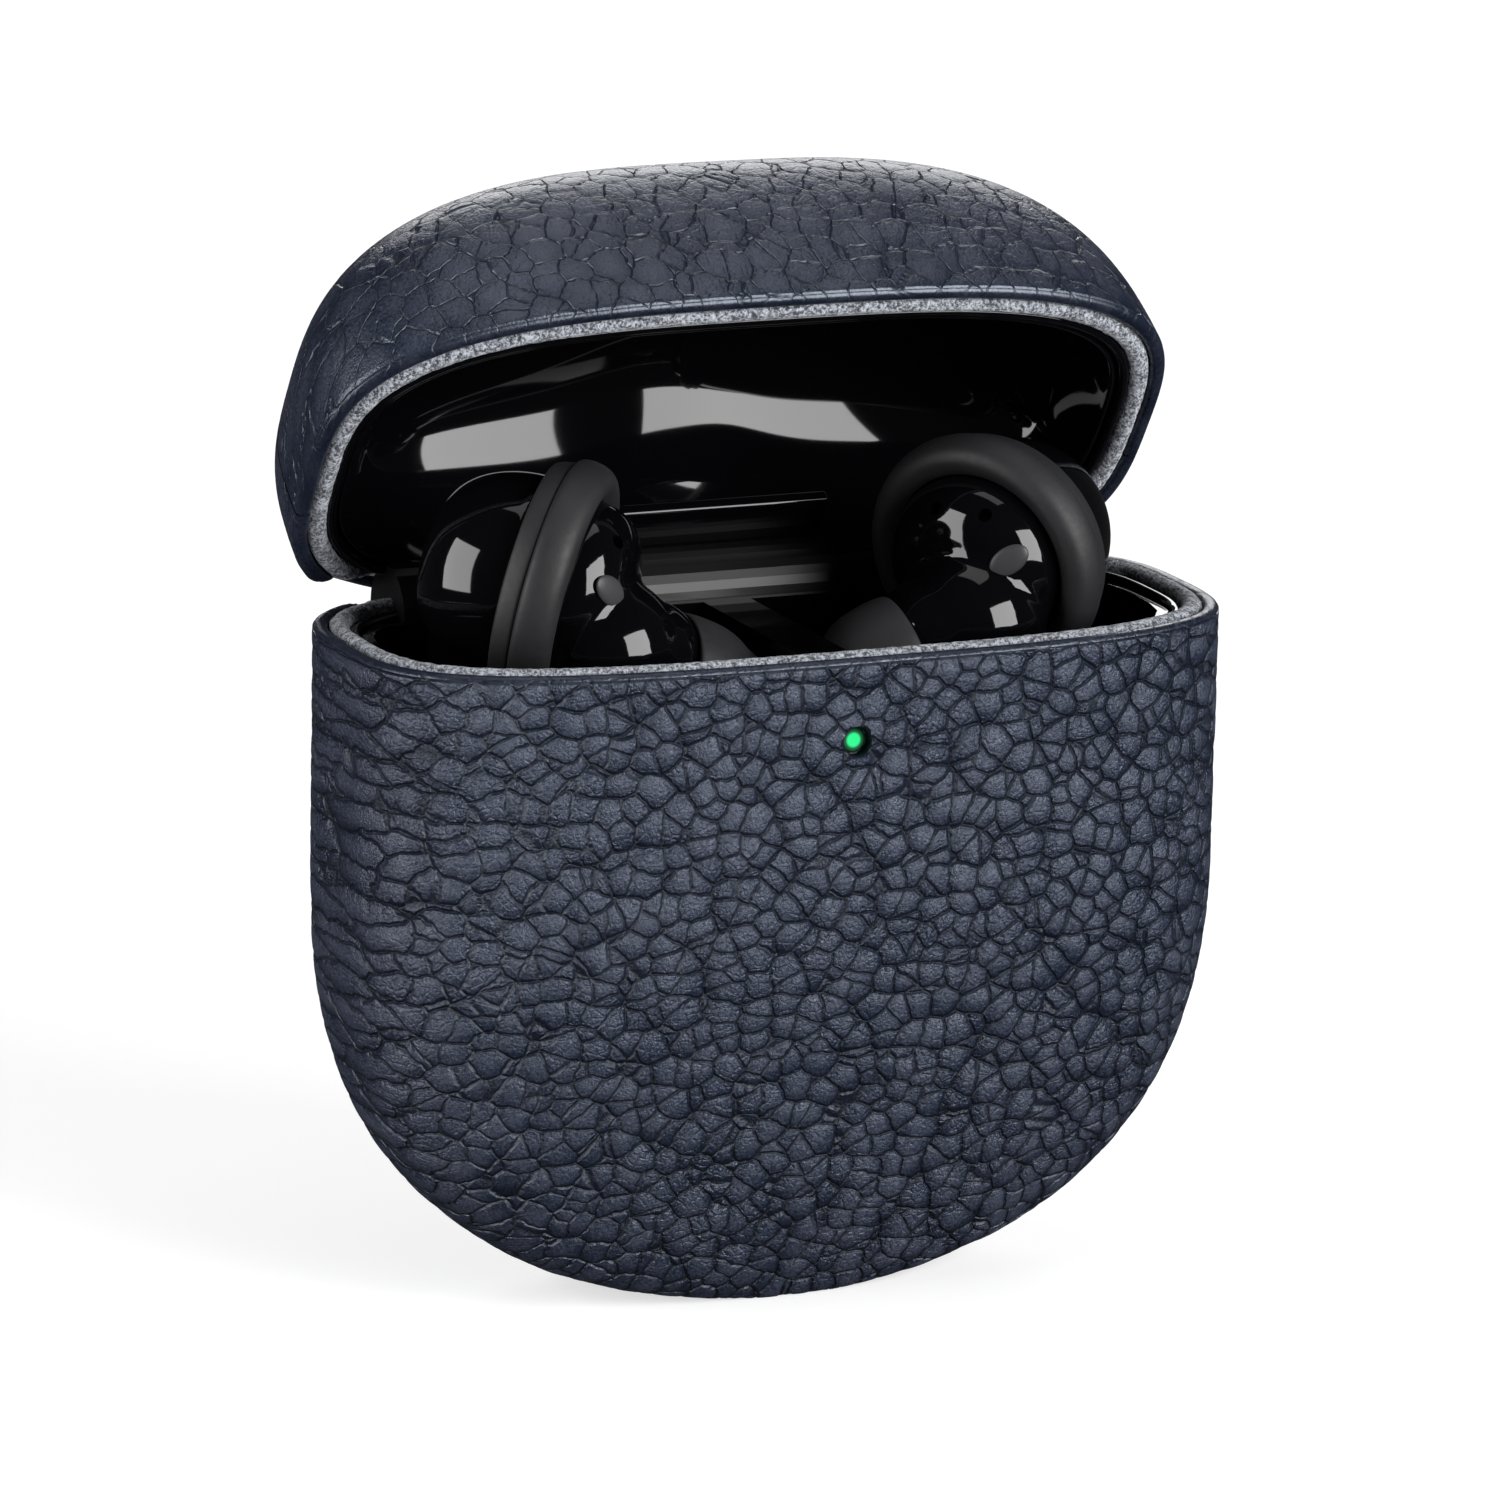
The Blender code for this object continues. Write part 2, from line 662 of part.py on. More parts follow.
def build_chassis(plastic):
    """The frame over the battery that the tray's screws run into."""
    half = BATTERY_SIZE.x / 2 + 2 * BOARD_GAP
    top = TRAY_BOTTOM - MAGNET_TALL - 3 * BOARD_GAP
    plate = block(
        (0, CHASSIS_Y, top - CHASSIS_WALL / 2),
        (2 * half, CHASSIS_DEPTH, CHASSIS_WALL),
    )
    chassis = add_object("battery_frame", plate, plastic, smooth=False)
    bottom = BATTERY_CENTRE.z - BATTERY_SIZE.z / 2
    for side, hand in ((-1, "left"), (1, "right")):
        leg = block(
            (side * (half - CHASSIS_WALL / 2), BATTERY_CENTRE.y, (top + bottom) / 2 - CHASSIS_WALL / 3),
            (CHASSIS_WALL, BATTERY_SIZE.y * 0.8, top - bottom),
        )
        boolean(chassis, "UNION", add_cutter("join_frame_leg_" + hand, leg))
    for side, hand in ((-1, "left"), (1, "right")):
        hole = rod(
            SCREW_RADIUS + SCREW_CLEARANCE,
            screw_point(top - 3 * CHASSIS_WALL, side),
            screw_point(top + CHASSIS_WALL, side),
            12,
        )
        cut(chassis, add_cutter("cut_frame_screw_" + hand, hole))


def build_socket(face, steel):
    mouth = face + CLOSE_GAP + SOCKET_DEPTH
    centre = Vector((0, mouth - SOCKET_DEPTH / 2, SOCKET_HEIGHT))
    socket = add_object(
        "usb_socket", slot_bar(centre, SOCKET_WIDTH, SOCKET_TALL, SOCKET_DEPTH), steel
    )
    hollow = slot_bar(
        centre + Vector((0, 2 * SOCKET_WALL, 0)),
        SOCKET_WIDTH - 2 * SOCKET_WALL,
        SOCKET_TALL - 2 * SOCKET_WALL,
        SOCKET_DEPTH,
    )
    cut(socket, add_cutter("cut_socket", hollow))
    tongue = block(
        (0, centre.y - 4 * SOCKET_WALL / 2, SOCKET_HEIGHT),
        (SOCKET_WIDTH * 0.74, SOCKET_DEPTH - 4 * SOCKET_WALL, 0.7 * MM),
    )
    boolean(socket, "UNION", add_cutter("join_tongue", tongue))


def button_flange_y():
    """Y of the flange's inner face with the button out."""
    inner_wall = back_of_shell(BUTTON_HEIGHT) - SHELL_THICKNESS
    return inner_wall - CLOSE_GAP * 2 - BUTTON_FLANGE


def build_button(plastic):
    inside = button_flange_y()
    outside = back_of_shell(BUTTON_HEIGHT) + BUTTON_PROUD
    rim = 0.25 * MM
    profile = [
        (0, 0),
        (0, BUTTON_RADIUS + BUTTON_FLANGE),
        (BUTTON_FLANGE, BUTTON_RADIUS + BUTTON_FLANGE),
        (BUTTON_FLANGE, BUTTON_RADIUS),
        (outside - inside - rim, BUTTON_RADIUS),
        (outside - inside, BUTTON_RADIUS - rim),
        (outside - inside, 0),
    ]
    frame = frame_along(Vector((0, inside, BUTTON_HEIGHT)), Vector((0, 1, 0)))
    pivot = add_pivot("button_pivot", Vector((0, inside, BUTTON_HEIGHT)))
    add_object("pairing_button", revolve(profile, frame), plastic, pivot)


def build_light(mats):
    outer = -HALF_DEPTH + LEATHER_THICKNESS * 0.7
    inner = DIVIDER_CENTRE_Y - DIVIDER_LENGTH / 2 + CLOSE_GAP * 2
    pipe = rod(
        PIPE_RADIUS, (0, outer, PIPE_HEIGHT), (0, inner, PIPE_HEIGHT), SMALL_SEGMENTS, 0.15 * MM
    )
    add_object("light_pipe", pipe, mats["lens"])
    led = block((0, inner + CLOSE_GAP + LED_SIZE.y / 2, PIPE_HEIGHT), LED_SIZE)
    add_object("status_led", led, mats["lamp"], smooth=False)


def build_magnets(steel, pivot):
    closure_y = DIVIDER_CENTRE_Y - DIVIDER_LENGTH / 2 + CLOSURE_MAGNET.y / 2 + 1.6 * MM
    body = block(
        (0, closure_y, DIVIDER_TOP - CLOSE_GAP - CLOSURE_MAGNET.z / 2), CLOSURE_MAGNET
    )
    add_object("body_magnet", body, steel, smooth=False)
    lid = block((0, LID_MAGNET_Y, RIM_HEIGHT + LID_MAGNET_HEIGHT), LID_MAGNET)
    add_object("lid_magnet", lid, steel, pivot, smooth=False)
    for side, hand in ((-1, "left"), (1, "right")):
        centre = Vector((side * MAGNET_X, MAGNET_Y, 0))
        top = TRAY_BOTTOM - CLOSE_GAP
        disc = rod(
            MAGNET_RADIUS,
            centre + Vector((0, 0, top - MAGNET_TALL)),
            centre + Vector((0, 0, top)),
            SMALL_SEGMENTS,
        )
        add_object("cradle_magnet_" + hand, disc, steel)


def build_contacts(brass):
    """Sprung charging pins under each stem well, in their carrier."""
    floor = STEM_BOTTOM - STEM_PLAY
    for side, hand in ((-1, "left"), (1, "right")):
        top = floor - TRAY_WALL - CLOSE_GAP
        carrier_tall = 1.8 * MM
        carrier = block(
            stem_point(top - carrier_tall / 2, side),
            (3.0 * MM, 2 * CONTACT_SPREAD + 2.6 * MM, carrier_tall),
        )
        obj = add_object("contact_block_" + hand, carrier, brass, smooth=False)
        for end in (-1, 1):
            pin = rod(
                CONTACT_RADIUS,
                contact_point(top - carrier_tall / 2, side, end),
                contact_point(STEM_BOTTOM - CLOSE_GAP, side, end),
                12,
            )
            boolean(obj, "UNION", add_cutter(f"join_pin_{hand}_{'ab'[end > 0]}", pin))


# ---------------------------------------------------------------- hinge


def build_hinge(mats, pivot):
    bracket_start = BARREL_HALF_LENGTH + HINGE_END_GAP
    bracket_end = bracket_start + BRACKET_LENGTH
    pin_end = bracket_end - 0.8 * MM
    add_object(
        "hinge_pin", hinge_rod(PIN_RADIUS, pin_end, SMALL_SEGMENTS), mats["steel"]
    )
    bore = add_cutter("cut_pin_bore", hinge_rod(PIN_RADIUS + PIN_CLEARANCE, pin_end + CLOSE_GAP))
    for side, hand in ((-1, "left"), (1, "right")):
        knuckle = rod(
            BARREL_RADIUS,
            (side * bracket_start, HINGE_Y, HINGE_Z),
            (side * bracket_end, HINGE_Y, HINGE_Z),
        )
        cut(add_object("hinge_bracket_" + hand, knuckle, mats["trim"]), bore)
    room_start = BARREL_HALF_LENGTH - SPRING_LENGTH
    room = SPRING_RADIUS + SPRING_WIRE + SPRING_CLEARANCE
    profile = [
        (-BARREL_HALF_LENGTH, room),
        (-BARREL_HALF_LENGTH, BARREL_RADIUS),
        (BARREL_HALF_LENGTH, BARREL_RADIUS),
        (BARREL_HALF_LENGTH, room),
        (room_start, room),
        (room_start, PIN_RADIUS + PIN_CLEARANCE),
        (-room_start, PIN_RADIUS + PIN_CLEARANCE),
        (-room_start, room),
    ]
    frame = frame_along(Vector((0, HINGE_Y, HINGE_Z)), Vector((1, 0, 0)))
    add_object("hinge_barrel", revolve(profile, frame, 32), mats["trim"], pivot)
    for side, hand in ((-1, "left"), (1, "right")):
        build_spring("hinge_spring_" + hand, side, mats["steel"])


def build_spring(name, side, steel):
    """A torsion spring round the pin, inside the barrel's end."""
    curve = bpy.data.curves.new(name, "CURVE")
    curve.dimensions = "3D"
    curve.bevel_depth = SPRING_WIRE
    curve.bevel_resolution = 1
    curve.use_fill_caps = True
    steps = 12 * SPRING_TURNS
    spline = curve.splines.new("POLY")
    spline.points.add(steps)
    start = BARREL_HALF_LENGTH - SPRING_LENGTH + 2 * SPRING_WIRE
    length = SPRING_LENGTH - 4 * SPRING_WIRE
    for i in range(steps + 1):
        turn = 2 * math.pi * SPRING_TURNS * i / steps
        x = side * (start + length * i / steps)
        y = HINGE_Y + SPRING_RADIUS * math.cos(turn)
        z = HINGE_Z + SPRING_RADIUS * math.sin(turn)
        spline.points[i].co = (x, y, z, 1)
    curve.materials.append(steel)
    obj = bpy.data.objects.new(name, curve)
    bpy.context.scene.collection.objects.link(obj)


# ---------------------------------------------------------------- lid


def build_lid(mats, pivot):
    relief = add_cutter("cut_lid_shell_hinge", hinge_rod(CAVITY_RADIUS, sleeve_relief_half()), pivot)
    shell = add_object(
        "lid_shell",
        lid_cup(SHELL_INSET, SHELL_THICKNESS, RIM_GAP + SHELL_SET_BACK),
        mats["plastic"],
        pivot,
    )
    cut(shell, relief)
    liner = add_object(
        "lid_liner",
        lid_cup(TRAY_INSET, LINER_WALL, RIM_GAP + DECK_SET_BACK),
        mats["gloss"],
        pivot,
    )
    ledge_back = HALF_DEPTH - TRAY_INSET - LINER_WALL / 2
    ledge = block(
        (0, (LEDGE_FRONT + ledge_back) / 2, RIM_HEIGHT + RIM_GAP + LEDGE_HEIGHT / 2),
        (2 * LEDGE_HALF, ledge_back - LEDGE_FRONT, LEDGE_HEIGHT),
        LEDGE_ROUND,
    )
    front = -(HALF_DEPTH - TRAY_INSET)
    magnet_height = RIM_HEIGHT + LID_MAGNET_HEIGHT
    ridge = block(
        (0, front + LINER_WALL / 4 + RIDGE_DEPTH / 2, magnet_height),
        (LID_MAGNET.x + 2 * LINER_WALL, RIDGE_DEPTH, LID_MAGNET.z + 2 * LINER_WALL),
        LINER_WALL * 0.6,
    )
    magnet_room = block(
        (0, front, magnet_height),
        (
            LID_MAGNET.x + 2 * CLOSE_GAP,
            2 * (RIDGE_DEPTH - LINER_WALL),
            LID_MAGNET.z + 2 * CLOSE_GAP,
        ),
    )
    boolean(liner, "UNION", add_cutter("join_liner_ledge", ledge, pivot))
    boolean(liner, "UNION", add_cutter("join_liner_ridge", ridge, pivot))
    cut(
        liner,
        add_cutter("cut_liner_magnet", magnet_room, pivot),
        add_cutter("cut_liner_hinge", hinge_rod(CAVITY_RADIUS, 2 * BARREL_HALF_LENGTH), pivot),
    )


# ---------------------------------------------------------------- earbuds


def build_earbud(side, hand, mats):
    seat = add_pivot(hand + "_earbud_seat", mirrored_point(BAND_CENTRE, side))
    axis_frame = frame_along(BAND_CENTRE, BUD_AXIS)

    def turned(name, profile, material, frame=axis_frame, segments=ROUND_SEGMENTS):
        return add_object(
            f"{name}_{hand}", mirrored(revolve(profile, frame, segments), side), material, seat
        )

    def helper(name, bm):
        return add_cutter(f"{name}_{hand}", mirrored(bm, side), seat)

    build_cap(turned, helper, mats)
    build_housing(turned, helper, mats)
    build_band(turned, mats)
    build_tip(turned, helper, mats)
    build_bud_inside(turned, side, hand, seat, mats)


def build_cap(turned, helper, mats):
    """The outer half: a domed head that runs down into the stem."""
    near = -BAND_WIDTH / 2 - BUD_GAP
    far = near - CAP_LENGTH
    profile = [
        (near + BUD_GAP, 0),
        (near + BUD_GAP, CAP_RADIUS),
        (near - CAP_LENGTH * 0.35, CAP_RADIUS * 0.96),
        (near - CAP_LENGTH * 0.65, CAP_RADIUS * 0.83),
        (near - CAP_LENGTH * 0.86, CAP_RADIUS * 0.64),
        (near - CAP_LENGTH * 0.96, CAP_RADIUS * 0.46),
        (far, CAP_RADIUS * 0.25),
        (far, 0),
    ]
    cap = turned("bud_cap", profile, mats["gloss"])
    stem = rod(
        STEM_RADIUS, stem_point(STEM_BOTTOM, 1), stem_point(STEM_TOP, 1), bevel=STEM_BEVEL
    )
    boolean(cap, "UNION", helper("join_stem", stem))
    wall = TRAY_WALL
    frame = frame_along(BAND_CENTRE, BUD_AXIS)
    back = near - CELL_TALL - 2 * wall
    room = [(near + wall, 0), (near + wall, CELL_ROOM), (back, CELL_ROOM * 0.85), (back, 0)]
    cut(cap, helper("cut_cap_room", revolve(room, frame)))
    # The band and the ear side take the space in front of the cap's joint face.
    reach = BAND_RADIUS + 2 * BUD_GAP
    front = [(near, 0), (near, reach), (-near * 6, reach), (-near * 6, 0)]
    bore = rod(
        STEM_RADIUS - 1.2 * wall,
        stem_point(STEM_BOTTOM + 1.4 * wall, 1),
        stem_point(BAND_CENTRE.z, 1),
    )
    cut(cap, helper("cut_cap_face", revolve(front, frame, SMALL_SEGMENTS)))
    cut(cap, helper("cut_stem_room", bore))
    for end in (-1, 1):
        seat = rod(
            PAD_RADIUS + CLOSE_GAP,
            contact_point(STEM_BOTTOM - wall, 1, end),
            contact_point(STEM_BOTTOM + PAD_TALL + CLOSE_GAP, 1, end),
            12,
        )
        cut(cap, helper("cut_pad_" + "ab"[end > 0], seat))


def build_housing(turned, helper, mats):
    """The ear side: a dome that swells into the nozzle."""
    near = -BAND_WIDTH / 2 + BUD_GAP
    far = BAND_WIDTH / 2 + HOUSING_DOME
    seat = BAND_INNER - BUD_GAP
    profile = [(near, 0), (near, seat), (BAND_WIDTH / 2, seat)]
    for share in (0.35, 0.6, 0.8, 0.93):
        profile.append((BAND_WIDTH / 2 + HOUSING_DOME * share, seat * swell(share, 2.0)))
    profile.append((far, 0))
    housing = turned("bud_housing", profile, mats["gloss"])
    tip_axis = (TIP_CENTRE - BULGE_CENTRE).normalized()
    bulge = []
    for i in range(9):
        t = math.pi * i / 8
        bulge.append((-BULGE_RADIUS * math.cos(t), BULGE_RADIUS * math.sin(t)))
    bulge[0], bulge[-1] = (-BULGE_RADIUS, 0), (BULGE_RADIUS, 0)
    bulge_frame = frame_along(BULGE_CENTRE, tip_axis)
    nozzle_end = TIP_CENTRE + tip_axis * (TIP_HALF_LENGTH - 0.5 * MM)
    nozzle = rod(NOZZLE_RADIUS, BULGE_CENTRE, nozzle_end, SMALL_SEGMENTS)
    boolean(housing, "UNION", helper("join_bulge", revolve(bulge, bulge_frame, SMALL_SEGMENTS)))
    boolean(housing, "UNION", helper("join_nozzle", nozzle))
    frame = frame_along(BAND_CENTRE, BUD_AXIS)
    room = [(near - BUD_GAP, 0), (near - BUD_GAP, DRIVER_ROOM)]
    room += [(near + DRIVER_DEPTH, DRIVER_ROOM), (near + DRIVER_DEPTH, 0)]
    sound = rod(NOZZLE_RADIUS * 0.6, BULGE_CENTRE, nozzle_end + tip_axis * NOZZLE_RADIUS, 12)
    mesh_seat = rod(
        MESH_RADIUS + CLOSE_GAP,
        nozzle_end - tip_axis * 0.5 * MM,
        nozzle_end + tip_axis * NOZZLE_RADIUS,
        SMALL_SEGMENTS,
    )
    cut(
        housing,
        helper("cut_driver_room", revolve(room, frame)),
        helper("cut_sound_bore", sound),
        helper("cut_mesh_seat", mesh_seat),
    )
    mesh = [(0, 0), (0, MESH_RADIUS), (0.3 * MM, MESH_RADIUS), (0.3 * MM, 0)]
    mesh_frame = frame_along(nozzle_end - tip_axis * 0.38 * MM, tip_axis)
    turned("nozzle_mesh", mesh, mats["steel"], mesh_frame, SMALL_SEGMENTS)
    window_centre, window_axis = window_place()
    window_cut = rod(
        WINDOW_RADIUS + CLOSE_GAP,
        window_centre - window_axis * WINDOW_DEPTH,
        window_centre + window_axis * BULGE_RADIUS,
        SMALL_SEGMENTS,
    )
    cut(housing, helper("cut_window", window_cut))
    window = [(0, 0), (0, WINDOW_RADIUS), (WINDOW_DEPTH, WINDOW_RADIUS), (WINDOW_DEPTH, 0)]
    frame = frame_along(window_centre - window_axis * (WINDOW_DEPTH - CLOSE_GAP), window_axis)
    turned("sensor_window", window, mats["lens"], frame, SMALL_SEGMENTS)


def window_place():
    """The wear sensor's window: a point on the bulge's upper front, and its outward axis."""
    axis = Vector((-0.42, -0.62, 0.66)).normalized()
    return BULGE_CENTRE + axis * BULGE_RADIUS, axis


def build_band(turned, mats):
    """The silicone stability band, with a groove round its rim."""
    half = BAND_WIDTH / 2
    groove = -half * 0.35
    profile = [
        (-half, CAP_RADIUS - 0.6 * MM),
        (-half, BAND_RADIUS - 0.7 * MM),
        (-half * 0.85, BAND_RADIUS - 0.25 * MM),
        (groove - 0.15 * MM, BAND_RADIUS - 0.2 * MM),
        (groove, BAND_RADIUS - 0.55 * MM),
        (groove + 0.15 * MM, BAND_RADIUS - 0.1 * MM),
        (half * 0.45, BAND_RADIUS),
        (half * 0.85, BAND_RADIUS - 0.45 * MM),
        (half, BAND_RADIUS - 1.3 * MM),
        (half, BAND_INNER),
        (-half + BUD_GAP * 2, BAND_INNER),
    ]
    turned("stability_band", profile, mats["silicone"], segments=32)


def build_tip(turned, helper, mats):
    """The oval silicone ear tip: a domed skirt on a sleeve that grips the nozzle."""
    axis = (TIP_CENTRE - BULGE_CENTRE).normalized()
    oval = Matrix.Diagonal((TIP_OVAL, 1.0, 1.0, 1.0))
    frame = frame_along(TIP_CENTRE, axis) @ oval
    half, skin = TIP_HALF_LENGTH, 0.6 * MM
    bore = NOZZLE_RADIUS + BUD_GAP
    sleeve_start = -half * 0.55
    profile = [
        (sleeve_start, bore),
        (half, bore),
        (half, bore + skin * 1.2),
        (half * 0.7, TIP_RADIUS * 0.78),
        (half * 0.25, TIP_RADIUS * 0.92),
        (-half * 0.4, TIP_RADIUS * 0.99),
        (-half, TIP_RADIUS),
        (-half, TIP_RADIUS - skin),
        (-half * 0.3, TIP_RADIUS * 0.99 - skin),
        (half * 0.2, TIP_RADIUS * 0.9 - skin),
        (half * 0.5, bore + skin),
        (sleeve_start, bore + skin),
    ]
    turned("ear_tip", profile, mats["silicone"], frame, ROUND_SEGMENTS)


def build_bud_inside(turned, side, hand, seat, mats):
    near = -BAND_WIDTH / 2
    cell = [(near - CELL_TALL - 0.4 * MM, 0), (near - CELL_TALL - 0.4 * MM, CELL_RADIUS)]
    cell += [(near - 0.4 * MM, CELL_RADIUS), (near - 0.4 * MM, 0)]
    turned("bud_cell", cell, mats["foil"], segments=SMALL_SEGMENTS)
    start = near + BUD_GAP + 0.3 * MM
    driver = [(start, 0), (start, DRIVER_ROOM - 0.5 * MM)]
    driver += [(start + 2.0 * MM, DRIVER_ROOM - 0.5 * MM), (start + 2.6 * MM, DRIVER_ROOM * 0.5)]
    driver += [(start + 2.6 * MM, 0)]
    turned("driver", driver, mats["steel"])
    board = block(stem_point(BUD_BOARD_Z, 1), BUD_BOARD)
    add_object("bud_board_" + hand, mirrored(board, side), mats["board"], seat, smooth=False)
    for end in (-1, 1):
        pad = rod(
            PAD_RADIUS,
            contact_point(STEM_BOTTOM + CLOSE_GAP / 2, 1, end),
            contact_point(STEM_BOTTOM + PAD_TALL, 1, end),
            12,
        )
        name = f"charge_pad_{hand}_{'front' if end < 0 else 'rear'}"
        add_object(name, mirrored(pad, side), mats["brass"], seat)


# ---------------------------------------------------------------- assembly


def add_pivot(name, location, rotation=(0, 0, 0)):
    pivot = bpy.data.objects.new(name, None)
    pivot.empty_display_size = 5 * MM
    pivot.location = location
    pivot.rotation_euler = rotation
    bpy.context.scene.collection.objects.link(pivot)
    return pivot


def main():
    for obj in list(bpy.data.objects):
        bpy.data.objects.remove(obj, do_unlink=True)
    mats = {
        "leather": make_material("navy_leather", (0.030, 0.040, 0.065), 0.55),
        "lining": make_material("grey_microfibre", (0.36, 0.38, 0.42), 0.95),
        "plastic": make_material("black_plastic", (0.012, 0.012, 0.014), 0.35),
        "gloss": make_material("gloss_black", (0.006, 0.006, 0.008), 0.08),
        "trim": make_material("satin_black", (0.016, 0.016, 0.018), 0.3),
        "silicone": make_material("grey_silicone", (0.045, 0.046, 0.050), 0.6),
        "steel": make_material("steel", (0.62, 0.62, 0.64), 0.3, 1.0),
        "brass": make_material("gold_contact", (0.80, 0.58, 0.25), 0.3, 1.0),
        "foil": make_material("cell_foil", (0.45, 0.46, 0.48), 0.4, 0.6),
        "board": make_material("circuit_board", (0.02, 0.09, 0.05), 0.5),
        "lens": make_material("smoked_lens", (0.03, 0.03, 0.035), 0.15),
        "lamp": make_material("green_lamp", (0.05, 0.8, 0.3), 0.4),
    }
    hinge = Vector((0, HINGE_Y, HINGE_Z))
    lid_pivot = add_pivot("lid_pivot", hinge, (-math.radians(LID_OPEN_ANGLE), 0, 0))
    build_body_sleeve(mats["leather"], mats["lining"])
    build_lid_sleeve(mats["leather"], mats["lining"], lid_pivot)
    build_body_shell(mats["plastic"])
    build_tray(mats["gloss"])
    build_electronics(mats)
    build_button(mats["plastic"])
    build_light(mats)
    build_magnets(mats["steel"], lid_pivot)
    build_contacts(mats["brass"])
    build_hinge(mats, lid_pivot)
    build_lid(mats, lid_pivot)
    for side, hand in ((-1, "left"), (1, "right")):
        screw(
            "tray_screw_" + hand,
            screw_point(POCKET_FLOOR + CLOSE_GAP, side),
            (0, 0, -1),
            mats["steel"],
        )
        build_earbud(side, hand, mats)


main()
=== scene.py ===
import json
import math

import bmesh
import bpy
import numpy as np
from mathutils import Matrix, Vector


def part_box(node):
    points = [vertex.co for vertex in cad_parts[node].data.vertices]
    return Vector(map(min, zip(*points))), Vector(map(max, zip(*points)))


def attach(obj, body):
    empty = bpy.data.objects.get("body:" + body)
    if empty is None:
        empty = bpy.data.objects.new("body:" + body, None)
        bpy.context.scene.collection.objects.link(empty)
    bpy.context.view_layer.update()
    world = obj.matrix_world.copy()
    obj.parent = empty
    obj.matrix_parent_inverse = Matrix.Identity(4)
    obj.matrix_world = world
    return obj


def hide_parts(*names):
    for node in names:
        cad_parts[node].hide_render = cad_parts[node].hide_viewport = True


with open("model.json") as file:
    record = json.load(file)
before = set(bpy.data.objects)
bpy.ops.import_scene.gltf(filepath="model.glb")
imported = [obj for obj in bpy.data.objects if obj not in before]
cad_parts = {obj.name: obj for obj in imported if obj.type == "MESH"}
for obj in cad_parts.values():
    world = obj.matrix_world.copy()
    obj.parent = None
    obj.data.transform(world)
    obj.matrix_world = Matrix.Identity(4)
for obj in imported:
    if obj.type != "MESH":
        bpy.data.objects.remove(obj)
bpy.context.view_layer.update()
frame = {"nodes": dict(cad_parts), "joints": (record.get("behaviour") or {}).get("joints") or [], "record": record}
mm = 0.001

# The case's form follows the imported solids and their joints.
frontLow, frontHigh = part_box("body_leather_front")
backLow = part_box("body_leather_back")[0]
joints = {joint["name"]: joint for joint in frame["joints"]}
hingeJoint = joints["lid_hinge"]
hingeY, hingeZ = hingeJoint["pos_m"][1], hingeJoint["pos_m"][2]
openAngle = math.radians(hingeJoint["range_deg"][1])

case = {
    "halfWidth": 32.0 * mm,
    "halfDepth": -frontLow.y * 1.0025,  # facets lie just inside the true curve
    "rim": frontHigh.z,
    "lidTall": 18.85 * mm,
    "sectionPower": 3.23,  # how square the case is, seen from above
    "flank": (28.9 * mm, 2.45),  # height where the sides start to narrow, and how roundly
    "face": (30.7 * mm, 1.4, 5.75 * mm),  # the same for front and back, and the foot's half depth
    "footCut": 0.26 * mm,
    "lidPowers": (3.18, 4.76),  # how square the lid's sides and faces are
    "lidWaist": 1.2 * mm,  # its widest level lies this far below the rim
    "rimGap": 0.4 * mm,
    "bodySeamY": (frontHigh.y + backLow.y) / 2,
    "lidSeamY": 3.0 * mm,
}
skins = {  # how far inside the leather's face each skin starts, and how thick it is
    "leather": (0.0, 1.05 * mm),
    "lining": (1.1 * mm, 1.28 * mm),
    "shell": (2.42 * mm, 0.72 * mm),
    "liner": (3.26 * mm, 0.45 * mm),
}


def swell(share, power):
    return max(0.0, 1 - min(1.0, share) ** power) ** (1 / power)


def outline(halfX, halfY, columns):
    # evenly spaced round the superellipse, starting at the middle of the back
    t = np.linspace(0, 2 * math.pi, 6000) + math.pi / 2
    c, s = np.cos(t), np.sin(t)
    power = 2 / case["sectionPower"]
    x = halfX * np.sign(c) * np.abs(c) ** power
    y = halfY * np.sign(s) * np.abs(s) ** power
    run = np.concatenate([[0], np.cumsum(np.hypot(np.diff(x), np.diff(y)))])
    at = np.linspace(0, run[-1], columns + 1)
    return np.interp(at, run, x), np.interp(at, run, y)


def bodySize(z, inset):
    halfX, halfY = case["halfWidth"] - inset, case["halfDepth"] - inset
    flankZ, flankPower = case["flank"]
    faceZ, facePower, footHalf = case["face"]
    if z < flankZ:
        halfX *= swell((flankZ - z) / (flankZ + case["footCut"] - inset), flankPower)
    if z < faceZ:
        foot = footHalf - inset
        share = (faceZ - z) / (faceZ + case["footCut"] - inset)
        halfY = foot + (halfY - foot) * swell(share, facePower)
    return halfX, halfY


def lidSize(z, inset):
    crown = case["lidTall"] - inset
    share = (z - case["rim"] + case["lidWaist"]) / (crown + case["lidWaist"])
    start = case["lidWaist"] / (crown + case["lidWaist"])
    sidePower, facePower = case["lidPowers"]
    side = swell(share, sidePower) / swell(start, sidePower)
    face = swell(share, facePower) / swell(start, facePower)
    return (case["halfWidth"] - inset) * side, (case["halfDepth"] - inset) * face


hingeRelief = {
    # where the rim starts to leave its level, over what depth, the relief's shift back and radius
    "body": (11.3 * mm, 1.3 * mm, 0.5 * mm, 4.15 * mm),
    "lid": (9.6 * mm, 1.4 * mm, 0.9 * mm, 3.75 * mm),
}


def reliefAt(part, y):
    start, depth, shift, radius = hingeRelief[part]
    share = np.clip((y - start) / depth, 0, 1)
    off = np.clip(y - shift - hingeY, -radius, radius)
    return share * share * (3 - 2 * share), np.sqrt(radius * radius - off * off)


def bodyRim(y, base):
    # the rim drops at the back, where the open lid's edge swings in
    share, reach = reliefAt("body", y)
    return base + (np.minimum(hingeZ - reach, base) - base) * share


